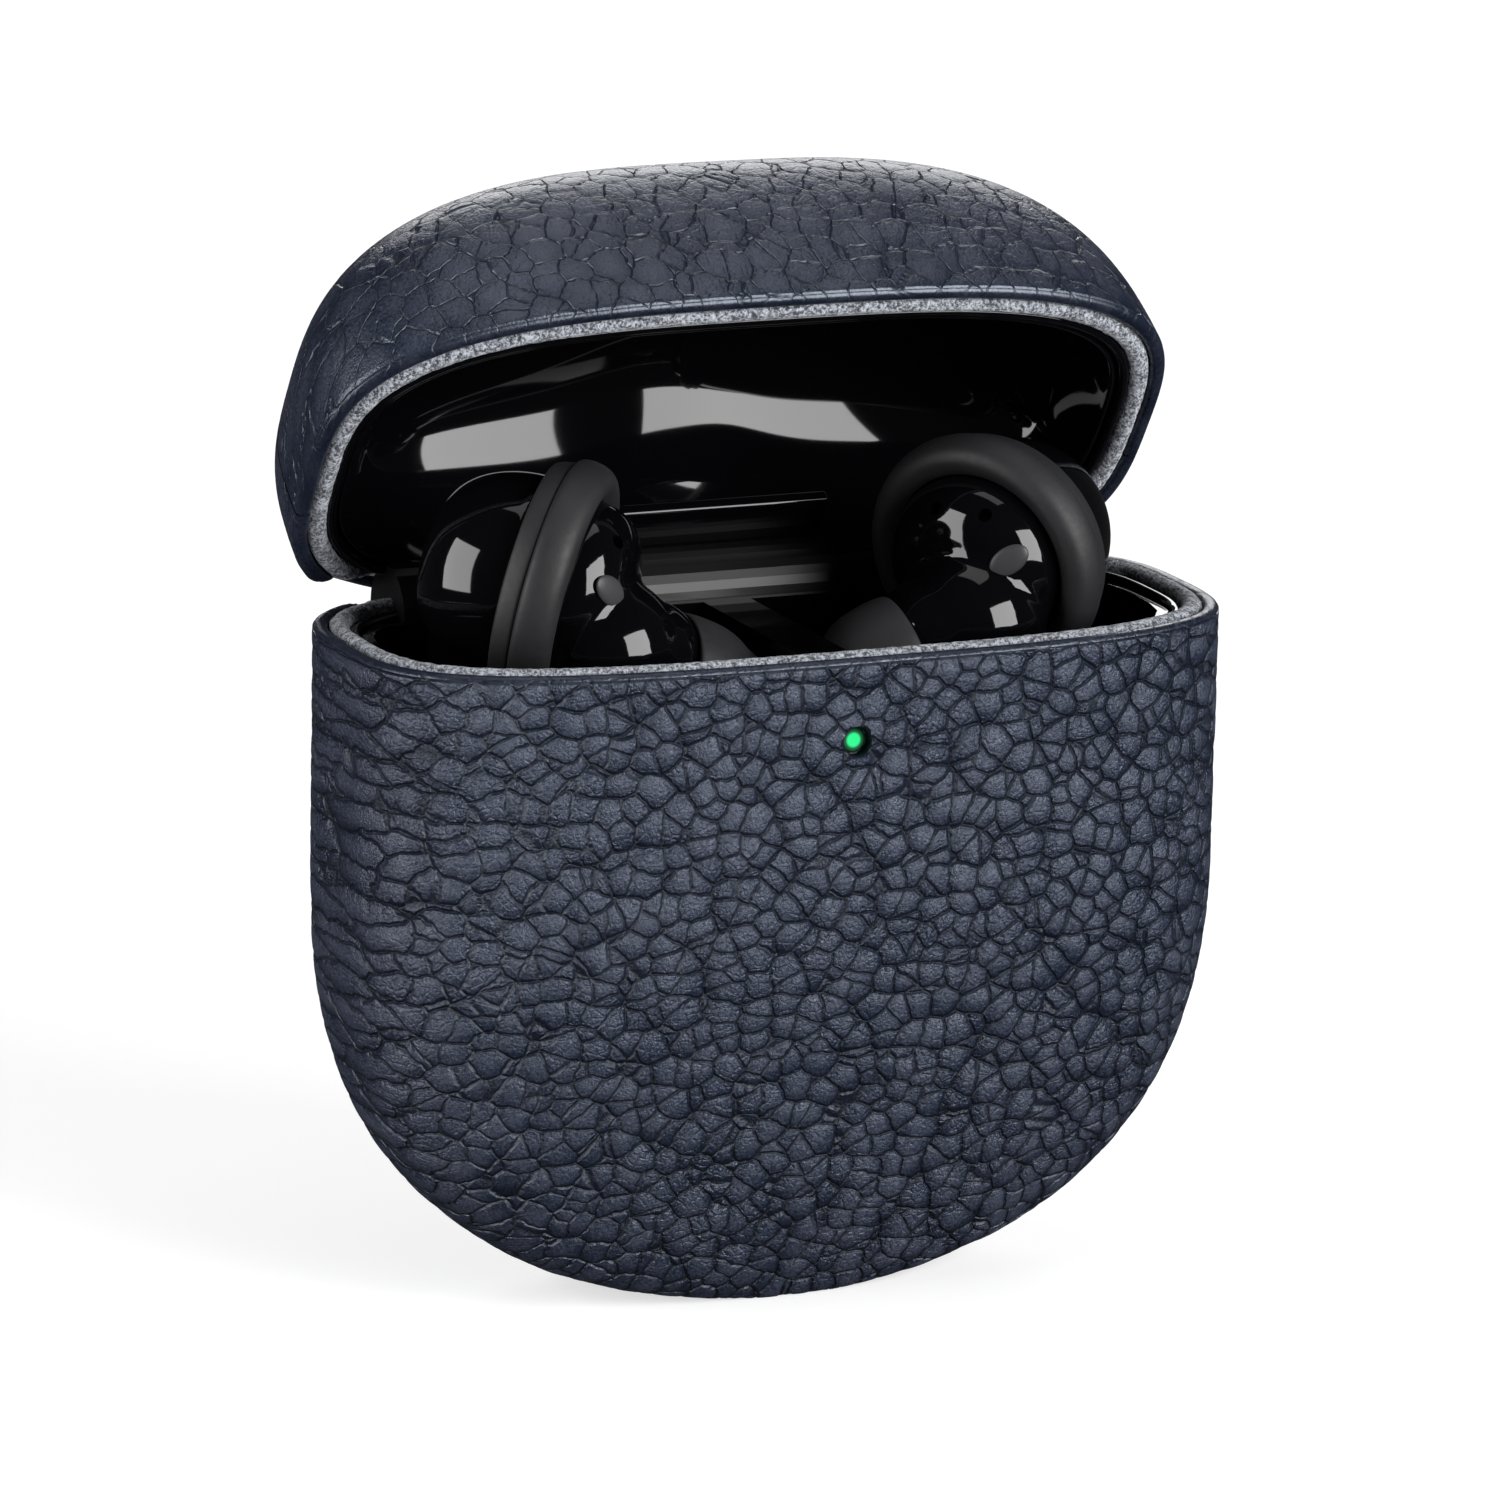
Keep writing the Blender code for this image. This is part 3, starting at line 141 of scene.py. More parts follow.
def lidRim(y, base):
    share, reach = reliefAt("lid", y)
    return base + (np.maximum(hingeZ + reach, base) - base) * share


def levels(start, end, size, inset, step):
    # heights whose rings lie one step apart along the wall
    z = np.linspace(start, end, 900)
    halves = np.array([size(level, inset) for level in z])
    run = np.hypot(np.hypot(np.diff(halves[:, 0]), np.diff(halves[:, 1])) * 0.75, np.diff(z))
    run = np.concatenate([[0], np.cumsum(run)])
    count = max(2, int(run[-1] / step))
    return np.interp(np.linspace(0, run[-1], count + 1), run, z)


liner = {
    "powers": (2.7, 2.3),  # its inside is rounder than the leather outside
    "ceiling": 0.4 * mm,  # extra thickness at the top
    "ridge": (2.0 * mm, 7.0 * mm, 7.0 * mm),  # how far forward, how wide, over what height
}


def linerSize(z, inset):
    share = max(0, (z - case["rim"]) / (case["lidTall"] - inset - liner["ceiling"]))
    sidePower, facePower = liner["powers"]
    halfX = (case["halfWidth"] - inset) * swell(share, sidePower)
    return halfX, (case["halfDepth"] - inset) * swell(share, facePower)


def linerRidge(x, y, z):
    # the back's middle stands forward, between the two earbuds' hollows
    forward, wide, tall = liner["ridge"]
    deep = np.clip((z - case["rim"]) / tall, 0, 1)
    return np.where(y > 0, 1, 0) * forward * deep * np.exp(-((x / wide) ** 2))


domeEnd = 0.9985  # the rings stop just short of the dome's top
rimSteps = 8


def cupPoints(part, skin, topDrop, step, columns, innerStep, seamY=None, insideSize=None):
    # rows of points: closed end, outer wall, rolled rim, inner wall, closed end
    inset, thick = skins[skin]
    size, rimOf = (bodySize, bodyRim) if part == "body" else (lidSize, lidRim)
    if part == "body":
        rim, far = case["rim"] - topDrop, inset
        farInner = inset + thick
    else:
        rim = case["rim"] + case["rimGap"] + topDrop
        far = case["rim"] + (case["lidTall"] - inset) * domeEnd
        farInner = case["rim"] + (case["lidTall"] - inset - thick) * domeEnd
    up = 1 if part == "body" else -1
    rows = []
    roll = thick / 2
    insideSize = insideSize or size

    def ring(z, atInset, share=1.0, rimShift=0.0, sizeOf=size):
        halfX, halfY = sizeOf(z, atInset)
        x, y = outline(halfX * share, halfY * share, columns)
        if sizeOf is linerSize:
            y = y - linerRidge(x, y, z) * share
        rimHere = rimOf(y, rim)
        span = rim - far
        level = (z - far) / span
        blendIn = np.clip((level - 0.45) / 0.55, 0, 1) ** 2
        return np.stack([x, y, z + (rimHere - rim) * blendIn + rimShift * up], 1)

    wall = levels(far, rim - roll * up, size, inset, step)
    firstX = size(far, inset)[0]
    for share in np.linspace(0, 1, max(3, int(firstX / step)), endpoint=False):
        rows.append(ring(far, inset, share))
    rows += [ring(z, inset) for z in wall]
    for i in range(1, rimSteps):  # the rolled rim
        turn = math.pi * i / rimSteps
        deep = inset + roll * (1 - math.cos(turn))
        rows.append(ring(rim - roll * up, deep, 1.0, roll * math.sin(turn)))
    if insideSize is not size:
        farInner = case["rim"] + (case["lidTall"] - inset - thick - liner["ceiling"]) * domeEnd
    inner = levels(farInner, rim - roll * up, insideSize, inset + thick, innerStep)[::-1]
    rows += [ring(z, inset + thick, 1.0, 0.0, insideSize) for z in inner]
    innerCap = np.linspace(1, 0, 4)[1:]
    rows += [ring(farInner, inset + thick, share, 0.0, insideSize) for share in innerCap]
    points = np.array(rows)
    grain = np.zeros(points.shape[:2])  # the outside alone is grained
    grain[: len(rows) - len(inner) - len(innerCap) - (rimSteps - 1)] = 1.0
    edge = np.abs(points[..., 2] - rimOf(points[..., 1], rim))
    grain *= np.clip(edge / (0.9 * mm), 0, 1) ** 0.7 * (1 if part == "body" else leatherLook["lid"])
    if seamY is not None:
        near = np.clip(1 - np.abs(points[..., 1] - seamY) / (0.7 * mm), 0, 1)
        grain *= 1 - 0.75 * near
    return points, grain


def wrapGrid(points, grain=None):
    rows, columns = points.shape[0] - 1, points.shape[1] - 1
    bm = bmesh.new()
    bmesh.ops.create_grid(bm, x_segments=columns, y_segments=rows, size=1.0)
    layer = bm.verts.layers.float.new("grain")
    for vert in bm.verts:
        column = round((vert.co.x + 1) / 2 * columns)
        row = round((vert.co.y + 1) / 2 * rows)
        vert.co = points[row, column]
        vert[layer] = 1.0 if grain is None else grain[row, column]
    bmesh.ops.remove_doubles(bm, verts=bm.verts, dist=0.0005 * mm)
    bmesh.ops.recalc_face_normals(bm, faces=bm.faces)
    return bm


def openedLid(bm):
    pivot = Vector((0, hingeY, hingeZ))
    turn = Matrix.Rotation(-openAngle, 4, "X")
    bm.transform(Matrix.Translation(pivot) @ turn @ Matrix.Translation(-pivot))
    return bm


def keepSide(bm, y, keepFront, gap):
    # cuts along the seam and closes the cut
    at = y - gap / 2 if keepFront else y + gap / 2
    made = bmesh.ops.bisect_plane(
        bm,
        geom=bm.verts[:] + bm.edges[:] + bm.faces[:],
        dist=1e-7,
        plane_co=(0, at, 0),
        plane_no=(0, 1, 0),
        clear_outer=keepFront,
        clear_inner=not keepFront,
    )
    edges = [e for e in made["geom_cut"] if isinstance(e, bmesh.types.BMEdge)]
    bmesh.ops.holes_fill(bm, edges=edges, sides=0)
    return bm


def meshObject(name, bm, body, material, replaced=(), smoothAngle=35):
    mesh = bpy.data.meshes.new(name)
    bm.to_mesh(mesh)
    bm.free()
    return placed(name, mesh, body, material, replaced, smoothAngle)


def placed(name, mesh, body, material, replaced=(), smoothAngle=35):
    mesh.shade_smooth()
    if smoothAngle:
        mesh.set_sharp_from_angle(angle=math.radians(smoothAngle))
    obj = bpy.data.objects.new(name, mesh)
    bpy.context.scene.collection.objects.link(obj)
    mesh.materials.clear()
    mesh.materials.append(material)
    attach(obj, body)
    if replaced:
        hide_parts(*replaced)
    return obj


def applied(obj):
    bpy.context.view_layer.update()
    graph = bpy.context.evaluated_depsgraph_get()
    mesh = bpy.data.meshes.new_from_object(obj.evaluated_get(graph))
    old = obj.data
    obj.modifiers.clear()
    obj.data = mesh
    bpy.data.meshes.remove(old)
    return obj


def withHoles(bm, cutters):
    # cuts holes through a closed mesh and gives the result back as a bmesh
    mesh = bpy.data.meshes.new("holesBase")
    bm.to_mesh(mesh)
    bm.free()
    base = bpy.data.objects.new("holesBase", mesh)
    bpy.context.scene.collection.objects.link(base)
    tools = []
    for cutter in cutters:
        toolMesh = bpy.data.meshes.new("holesTool")
        cutter.to_mesh(toolMesh)
        cutter.free()
        tool = bpy.data.objects.new("holesTool", toolMesh)
        bpy.context.scene.collection.objects.link(tool)
        tools.append(tool)
        boolean = base.modifiers.new("hole", "BOOLEAN")
        boolean.object, boolean.operation, boolean.solver = tool, "DIFFERENCE", "EXACT"
    applied(base)
    out = bmesh.new()
    out.from_mesh(base.data)
    bpy.data.objects.remove(base)
    for tool in tools:
        bpy.data.objects.remove(tool)
    return out


class Wire:  # a socket, with sums on it adding nodes
    def __init__(self, tree, socket=None):
        self.tree, self.socket = tree, socket

    def node(self, kind, settings, values, out=0):
        made = self.tree.nodes.new(kind)
        for name, value in settings.items():
            if name == "stops":
                ramp = made.color_ramp
                while len(ramp.elements) < len(value):
                    ramp.elements.new(0.5)
                for element, (place, colour) in zip(ramp.elements, value):
                    element.position, element.color = place, colour
            else:
                setattr(made, name, value)
        for key, value in values.items():
            if isinstance(value, Wire):
                self.tree.links.new(value.socket, made.inputs[key])
            else:
                made.inputs[key].default_value = value
        return Wire(self.tree, made.outputs[out])

    def math(self, operation, *values):
        return self.node("ShaderNodeMath", {"operation": operation}, dict(enumerate(values)))

    def __add__(self, other):
        return self.math("ADD", self, other)

    __radd__ = __add__

    def __mul__(self, other):
        return self.math("MULTIPLY", self, other)

    __rmul__ = __mul__

    def __sub__(self, other):
        return self.math("SUBTRACT", self, other)

    def __rsub__(self, other):
        return self.math("SUBTRACT", other, self)

    def ramp(self, low, high, outLow=0.0, outHigh=1.0):
        settings = {"interpolation_type": "SMOOTHSTEP"}
        values = {"Value": self, "From Min": low, "From Max": high, "To Min": outLow, "To Max": outHigh}
        return self.node("ShaderNodeMapRange", settings, values)

    def noise(self, at, scale, detail=2.0, rough=0.5, out="Fac", twist=0.0):
        values = {"Vector": at, "Scale": scale, "Detail": detail, "Roughness": rough}
        values["Distortion"] = twist
        return self.node("ShaderNodeTexNoise", {}, values, out)

    def cells(self, at, scale, feature="DISTANCE_TO_EDGE", out="Distance", randomness=1.0):
        values = {"Vector": at, "Scale": scale, "Randomness": randomness}
        return self.node("ShaderNodeTexVoronoi", {"feature": feature}, values, out)

    def vector(self, operation, *values):
        return self.node("ShaderNodeVectorMath", {"operation": operation}, dict(enumerate(values)))

    def scaled(self, vector, amount):
        return self.node(
            "ShaderNodeVectorMath", {"operation": "SCALE"}, {0: vector, "Scale": amount}
        )

    def mix(self, factor, first, second):
        settings = {"data_type": "RGBA"}
        return self.node("ShaderNodeMix", settings, {0: factor, 6: first, 7: second}, 2)

    def bump(self, height, distance, strength=1.0):
        return self.node(
            "ShaderNodeBump", {}, {"Height": height, "Distance": distance, "Strength": strength}
        )


def newMaterial(name, fixed):
    material = bpy.data.materials.new(name)
    material.use_nodes = True
    shader = material.node_tree.nodes["Principled BSDF"]
    for socket, value in fixed.items():
        shader.inputs[socket].default_value = value
    wire = Wire(material.node_tree)
    at = wire.node("ShaderNodeTexCoord", {}, {}, "Object")

    def feed(socket, source):
        material.node_tree.links.new(source.socket, shader.inputs[socket])

    return material, wire, at, feed


leatherLook = {
    "cell": 555.0,  # pebbles per metre
    "wrinkle": 1450.0,
    "warp": 0.0016,
    "stretch": {"body": (1.0, 0.17, 1.1), "lid": (0.9, 1.0, 0.22)},  # pebbles run long one way
    "pillow": {"body": 0.5, "lid": 0.12},
    "crack": {"body": 0.092, "lid": 0.045},
    "height": 0.12 * mm,
    "relief": {"body": 0.56 * mm, "lid": 0.26 * mm},
    # painted shade for the creases, also the leather's own darker colour at the rim and seam edges
    "dark": (0.0012, 0.0022, 0.0066, 1),
    "base": (0.0068, 0.0104, 0.0222, 1),
    # the paler tone, also used for the painted highlight on the pebble tops
    "pale": (0.0380, 0.0425, 0.0625, 1),
    "lid": 0.6,  # how much grain the flatter lid leather keeps
    "shine": 0.5,
    "tint": (0.80, 0.88, 1.0, 1),
    "rough": 0.32,
}


def leatherRelief(wire, at, part):
    # pillowed pebbles parted by creases, with finer wrinkles crossing them
    drift = wire.noise(at, 260.0, 3.0, 0.6, "Color")
    drift = wire.vector("SUBTRACT", drift, (0.5, 0.5, 0.5))
    drift = wire.scaled(drift, leatherLook["warp"])
    place = wire.vector("ADD", at, drift)
    place = wire.vector("MULTIPLY", place, leatherLook["stretch"][part])
    edge = wire.cells(place, leatherLook["cell"])
    crease = edge.ramp(0.0, leatherLook["crack"][part])
    centre = wire.cells(place, leatherLook["cell"], "F1", "Distance")
    dome = 1 - centre * centre * 1.6
    fine = wire.cells(place, leatherLook["wrinkle"]).ramp(0.0, 0.16)
    patch = wire.noise(at, 150.0, 1.0).ramp(0.38, 0.62)
    pillow = leatherLook["pillow"][part]
    height = crease * (0.9 - pillow) + dome * pillow + fine * patch * 0.1
    return height, crease, dome, fine, patch, place


def makeLeather(part):
    fixed = {"Specular IOR Level": leatherLook["shine"], "Specular Tint": leatherLook["tint"]}
    material, wire, at, feed = newMaterial(part + "NavyLeather", fixed)
    height, crease, dome, fine, patch, place = leatherRelief(wire, at, part)
    grain = wire.node("ShaderNodeAttribute", {"attribute_name": "grain"}, {}, "Fac")
    mood = wire.noise(at, 60.0, 3.0, 0.6)
    tone = wire.cells(place, leatherLook["cell"], "F1", "Color")
    tone = wire.node("ShaderNodeSeparateColor", {}, {"Color": tone}, 0)
    hair = wire.noise(at, 4600.0, 2.0, 0.7)
    # painted highlight: each pebble's dome top is painted paler, on top of the random tone, mottling and hair
    light = (mood - 0.5) * 0.4 + (tone - 0.5) * 0.2 + 0.2 + (dome - 0.5) * 0.7 + (hair - 0.5) * 2.0
    colour = wire.mix(light, leatherLook["base"], leatherLook["pale"])
    # painted shade: creases and fine wrinkles are painted darker and dome tops less dark; the rolled rim and the
    # seam take the leather's own darker edge colour
    paintedShadeAndEdgeColour = (0.96 - crease * 0.66 - fine * 0.08 * patch - dome * 0.22) * grain + (1 - grain) * 0.62
    colour = wire.mix(paintedShadeAndEdgeColour, colour, leatherLook["dark"])
    feed("Base Color", colour)
    fold = wire.vector("MULTIPLY", place, (1.0, 1.3, 1.0))
    streak = wire.noise(fold, 1500.0, 4.0, 0.7, "Fac", 1.5)
    relief = height * (grain * 0.9 + 0.1) + (hair * 0.26 + streak * 0.2) * (grain * 0.75 + 0.25)
    feed("Normal", wire.bump(relief, leatherLook["relief"][part], 1.0))
    rough = leatherLook["rough"] + (hair - 0.5) * 0.3 + (1 - crease) * 0.16 + (mood - 0.5) * 0.1
    feed("Roughness", rough)
    return material


def embossed(name, bm, part):
    # real pebbles: the same pattern as the shader's, moved along the normals
    mesh = bpy.data.meshes.new(name)
    bm.to_mesh(mesh)
    bm.free()
    mesh.shade_smooth()
    obj = bpy.data.objects.new(name, mesh)
    bpy.context.scene.collection.objects.link(obj)
    tree = bpy.data.node_groups.new(name + "Emboss", "GeometryNodeTree")
    tree.interface.new_socket("Geometry", in_out="INPUT", socket_type="NodeSocketGeometry")
    tree.interface.new_socket("Geometry", in_out="OUTPUT", socket_type="NodeSocketGeometry")
    wire = Wire(tree)
    shape = wire.node("NodeGroupInput", {}, {})
    at = wire.node("GeometryNodeInputPosition", {}, {})
    normal = wire.node("GeometryNodeInputNormal", {}, {})
    height = leatherRelief(wire, at, part)[0]
    grain = wire.node(
        "GeometryNodeInputNamedAttribute", {"data_type": "FLOAT"}, {"Name": "grain"}
    )
    amount = (height - 0.9) * grain * leatherLook["height"]
    offset = wire.scaled(normal, amount)
    moved = wire.node("GeometryNodeSetPosition", {}, {"Geometry": shape, "Offset": offset})
    out = tree.nodes.new("NodeGroupOutput")
    tree.links.new(moved.socket, out.inputs[0])
    modifier = obj.modifiers.new("emboss", "NODES")
    modifier.node_group = tree
    applied(obj)
    mesh = obj.data
    bpy.data.objects.remove(obj)
    bpy.data.node_groups.remove(tree)
    return mesh


def makeLining():
    fixed = {"Sheen Weight": 0.12, "Sheen Roughness": 0.6, "Specular IOR Level": 0.2}
    material, wire, at, feed = newMaterial("greyMicrofibre", fixed)
    nap = wire.noise(at, 4300.0, 3.0, 0.75)
    clump = wire.noise(at, 1500.0, 2.0, 0.6)
    tone = (nap * 0.75 + clump * 0.25).ramp(0.40, 0.62)
    feed("Base Color", wire.mix(tone, (0.022, 0.024, 0.030, 1), (0.34, 0.36, 0.40, 1)))
    feed("Roughness", 0.85 + nap * 0.15)
    feed("Normal", wire.bump(nap + clump * 0.7, 0.25 * mm, 0.9))
    return material


def makeGloss(name, colour, rough, shine=0.3):
    fixed = {"Base Color": colour, "Specular IOR Level": shine}
    material, wire, at, feed = newMaterial(name, fixed)
    smear = wire.noise(at, 60.0, 4.0, 0.6).ramp(0.35, 0.8)
    speck = wire.cells(at, 700.0, "F1").ramp(0.0, 0.05)
    dust = wire.noise(at, 400.0, 2.0).ramp(0.55, 0.75)
    feed("Roughness", rough + smear * 0.02 + (1 - speck) * dust * 0.2)
    feed("Normal", wire.bump(wire.noise(at, 90.0, 1.0), 0.012 * mm, 0.3))
    return material


def makeMatte(name, colour, rough, grainScale, depth):
    material, wire, at, feed = newMaterial(name, {"Specular IOR Level": 0.25})
    grain = wire.noise(at, grainScale, 3.0, 0.6)
    haze = wire.noise(at, 120.0, 3.0, 0.6)
    pale = tuple(min(1.0, part * 1.5) for part in colour[:3]) + (1,)
    feed("Base Color", wire.mix(haze.ramp(0.3, 0.8), colour, pale))
    feed("Roughness", rough + (grain - 0.5) * 0.2 + (haze - 0.5) * 0.1)
    feed("Normal", wire.bump(grain, depth, 0.6))
    return material


def makeMetal(name, colour, rough):
    material, wire, at, feed = newMaterial(name, {"Metallic": 1.0})
    brushed = wire.noise(wire.vector("MULTIPLY", at, (0.15, 1.0, 1.0)), 3000.0, 3.0, 0.6)
    dull = tuple(part * 0.7 for part in colour[:3]) + (1,)
    feed("Base Color", wire.mix(brushed.ramp(0.3, 0.7), colour, dull))
    feed("Roughness", rough + (brushed - 0.5) * 0.25)
    return material


lightPlace = {"height": 42.0 * mm, "core": 0.5 * mm, "halo": 1.0 * mm}


def makeLamp():
    fixed = {"Roughness": 0.25, "Emission Strength": 1.15, "Base Color": (0.002, 0.02, 0.008, 1)}
    material, wire, at, feed = newMaterial("greenLamp", fixed)
    parts = [wire.node("ShaderNodeSeparateXYZ", {}, {"Vector": at}, i) for i in range(3)]
    side, up = parts[0], parts[2] - lightPlace["height"]
    away = wire.math("SQRT", side * side + up * up)
    core = away.ramp(lightPlace["core"] * 0.75, lightPlace["core"] * 1.25, 1.0, 0.0)
    halo = away.ramp(lightPlace["core"], lightPlace["halo"], 0.06, 0.0)
    glow = wire.mix(core + halo, (0.0, 0.0, 0.0, 1), (0.012, 0.80, 0.235, 1))
    feed("Emission Color", glow)
    feed("Roughness", 0.2 + wire.noise(at, 900.0) * 0.1)
    return material


materials = {
    "leather": makeLeather("body"),
    "lidLeather": makeLeather("lid"),
    "lining": makeLining(),
    "gloss": makeGloss("glossBlack", (0.0012, 0.0012, 0.0016, 1), 0.045, 0.27),
    "satin": makeGloss("satinBlack", (0.003, 0.003, 0.0035, 1), 0.33, 0.2),
    "plastic": makeMatte("blackPlastic", (0.004, 0.004, 0.005, 1), 0.38, 2400.0, 0.02 * mm),
    "silicone": makeMatte("greySilicone", (0.0088, 0.0089, 0.0098, 1), 0.55, 2600.0, 0.03 * mm),
    "sensor": makeMatte("greySensor", (0.020, 0.020, 0.022, 1), 0.42, 3000.0, 0.01 * mm),
    "steel": makeMetal("steel", (0.60, 0.60, 0.62, 1), 0.3),
    "gold": makeMetal("goldContact", (0.80, 0.56, 0.24, 1), 0.28),
    "foil": makeMetal("cellFoil", (0.5, 0.51, 0.53, 1), 0.35),
    "board": makeMatte("circuitBoard", (0.012, 0.06, 0.032, 1), 0.45, 1500.0, 0.03 * mm),
    "lens": makeGloss("smokedLens", (0.030, 0.030, 0.032, 1), 0.16),
    "lamp": makeLamp(),
}
slotMaterials = {
    "navy_leather": "leather",
    "grey_microfibre": "lining",
    "black_plastic": "plastic",
    "gloss_black": "gloss",
    "satin_black": "satin",
    "grey_silicone": "silicone",
    "steel": "steel",
    "gold_contact": "gold",
    "cell_foil": "foil",
    "circuit_board": "board",
    "smoked_lens": "lens",
    "green_lamp": "lamp",
}
for part in frame["record"]["subparts"]:
    node = frame["nodes"][part["node"]]
    node.data.materials.clear()
    look = "lamp" if part["node"] == "light_pipe" else slotMaterials[part["material_slot"]]
    node.data.materials.append(materials[look])
print("materials made")

def rod(radius, start, end, segments=64, bevel=0.0):
    start, end = Vector(start), Vector(end)
    axis = end - start
    bm = bmesh.new()
    bmesh.ops.create_cone(
        bm,
        cap_ends=True,
        segments=segments,
        radius1=radius,
        radius2=radius,
        depth=axis.length,
    )
    if bevel:
        rims = [e for e in bm.edges if len({round(v.co.z, 9) for v in e.verts}) == 1]
        bmesh.ops.bevel(
            bm, geom=rims, offset=bevel, segments=4, profile=0.5, affect="EDGES", material=-1
        )
    turn = axis.to_track_quat("Z", "Y").to_matrix().to_4x4()
    bm.transform(Matrix.Translation((start + end) / 2) @ turn)
    return bm


def slotBar(centre, width, tall, depth, segments=24):
    # a bar along Y with round ends to its section
    bm = bmesh.new()
    bmesh.ops.create_cone(
        bm,
        cap_ends=True,
        segments=segments * 2,
        radius1=tall / 2,
        radius2=tall / 2,
        depth=depth,
    )
    for vert in bm.verts:
        vert.co.x += math.copysign((width - tall) / 2, vert.co.x)
    bm.transform(Matrix.Translation(centre) @ Matrix.Rotation(math.pi / 2, 4, "X"))
    bmesh.ops.recalc_face_normals(bm, faces=bm.faces)
    return bm


buttonLow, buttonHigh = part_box("pairing_button")
buttonZ = (buttonLow.z + buttonHigh.z) / 2
socketLow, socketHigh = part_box("usb_socket")
socketZ = (socketLow.z + socketHigh.z) / 2
holes = {"light": 1.06 * mm, "button": 3.3 * mm, "socket": 1.2 * mm}
leatherStep = {"column": 0.32 * mm, "row": 0.32 * mm, "inner": 2.2 * mm}


def lightHole(radius):
    return rod(radius, (0, -40 * mm, lightPlace["height"]), (0, 0, lightPlace["height"]), 48)


def buttonHole(radius):
    return rod(radius, (0, 0, buttonZ), (0, 40 * mm, buttonZ))


def socketHole(margin):
    centre = Vector((0, 20 * mm, socketZ))
    wide = socketHigh.x - socketLow.x + 2 * margin
    return slotBar(centre, wide, socketHigh.z - socketLow.z + 2 * margin, 36 * mm)


around = 4 * (case["halfWidth"] + case["halfDepth"]) * 0.875
leatherColumns = int(around / leatherStep["column"] / 2) * 2


def leatherPiece(part, keepFront):
    seam = case[part + "SeamY"]
    points, grain = cupPoints(
        part, "leather", 0.0, leatherStep["row"], leatherColumns, leatherStep["inner"], seam
    )
    return keepSide(wrapGrid(points, grain), seam, keepFront, 0.2 * mm)


for part, body in (("body", "case"), ("lid", "lid")):
    for side, keepFront in (("front", True), ("back", False)):
        bm = leatherPiece(part, keepFront)
        if part == "body":
            tools = [lightHole(holes["light"])]
            if not keepFront:
                tools = [buttonHole(holes["button"]), socketHole(holes["socket"])]
            bm = withHoles(bm, tools)
        else:
            openedLid(bm)
        name = f"{part}Leather{side.capitalize()}"
        mesh = embossed(name, bm, part)
        placed(
            name,
            mesh,
            body,
            materials["leather" if part == "body" else "lidLeather"],
            [f"{part}_leather_{side}"],
            55,
        )
        print(name, len(mesh.polygons), "faces")

thinSkins = [
    # name, part, skin, drop below the rim, material, replaced node, slot
    ("bodyLining", "body", "lining", -0.2 * mm, "lining", "body_lining", "grey_microfibre"),
    ("lidLining", "lid", "lining", 0.05 * mm, "lining", "lid_lining", "grey_microfibre"),
    ("bodyShell", "body", "shell", 0.45 * mm, "gloss", "body_shell", "black_plastic"),
    ("lidShell", "lid", "shell", 0.45 * mm, "gloss", "lid_shell", "black_plastic"),
    ("lidLiner", "lid", "liner", 0.9 * mm, "gloss", "lid_liner", "gloss_black"),
]


ledge = {
    "half": 8.6 * mm,
    "round": 0.3 * mm,
    "section": [(11.6, 0.5), (5.2, 0.5), (5.2, 1.45), (9.6, 5.0), (11.6, 5.0)],  # back, above the rim
}


def ledgeBar():
    # the wedge across the back of the lid that covers the hinge, drawn for the closed lid
    bm = bmesh.new()
    places = [(-ledge["half"], y * mm, case["rim"] + z * mm) for y, z in ledge["section"]]
    ends = [bm.verts.new(place) for place in places]
    face = bm.faces.new(ends)
    made = bmesh.ops.extrude_face_region(bm, geom=[face])["geom"]
    moved = [v for v in made if isinstance(v, bmesh.types.BMVert)]
    bmesh.ops.translate(bm, verts=moved, vec=(2 * ledge["half"], 0, 0))
    bmesh.ops.recalc_face_normals(bm, faces=bm.faces)
    bmesh.ops.bevel(
        bm,
        geom=bm.edges[:],
        offset=ledge["round"],
        segments=5,
        profile=0.5,
        affect="EDGES",
        material=-1,
    )
    return bm


def joined(bm, other):
    mesh = bpy.data.meshes.new("joinPart")
    other.to_mesh(mesh)
    other.free()
    bm.from_mesh(mesh)
    bpy.data.meshes.remove(mesh)
    return bm


for name, part, skin, drop, material, node, slotName in thinSkins:
    fine = 0.45 * mm if material == "lining" else 0.7 * mm
    columns = int(around / fine / 2) * 2
    inside = linerSize if name == "lidLiner" else None
    innerStep = 0.4 * mm if inside else 1.0 * mm
    points, grain = cupPoints(part, skin, drop, fine * 1.6, columns, innerStep, None, inside)
    bm = wrapGrid(points, grain)
    if inside:
        joined(bm, ledgeBar())
    if part == "body":
        margin = 0.3 * mm if skin == "shell" else 1.2 * mm
        cuts = [
            lightHole(holes["light"] + (0 if skin == "lining" else -0.04 * mm)),
            buttonHole((2.45 if skin == "shell" else 3.3) * mm),
            socketHole(margin),
        ]
        bm = withHoles(bm, cuts)
    else:
        openedLid(bm)
    if material == "lining":
        bm.normal_update()
        rng = np.random.default_rng(7)
        for vert, push in zip(bm.verts, rng.normal(0, 0.022 * mm, len(bm.verts))):
            vert.co += vert.normal * push
    meshObject(name, bm, "case" if part == "body" else "lid", materials[material], [node], 40)
print("linings and shells made")

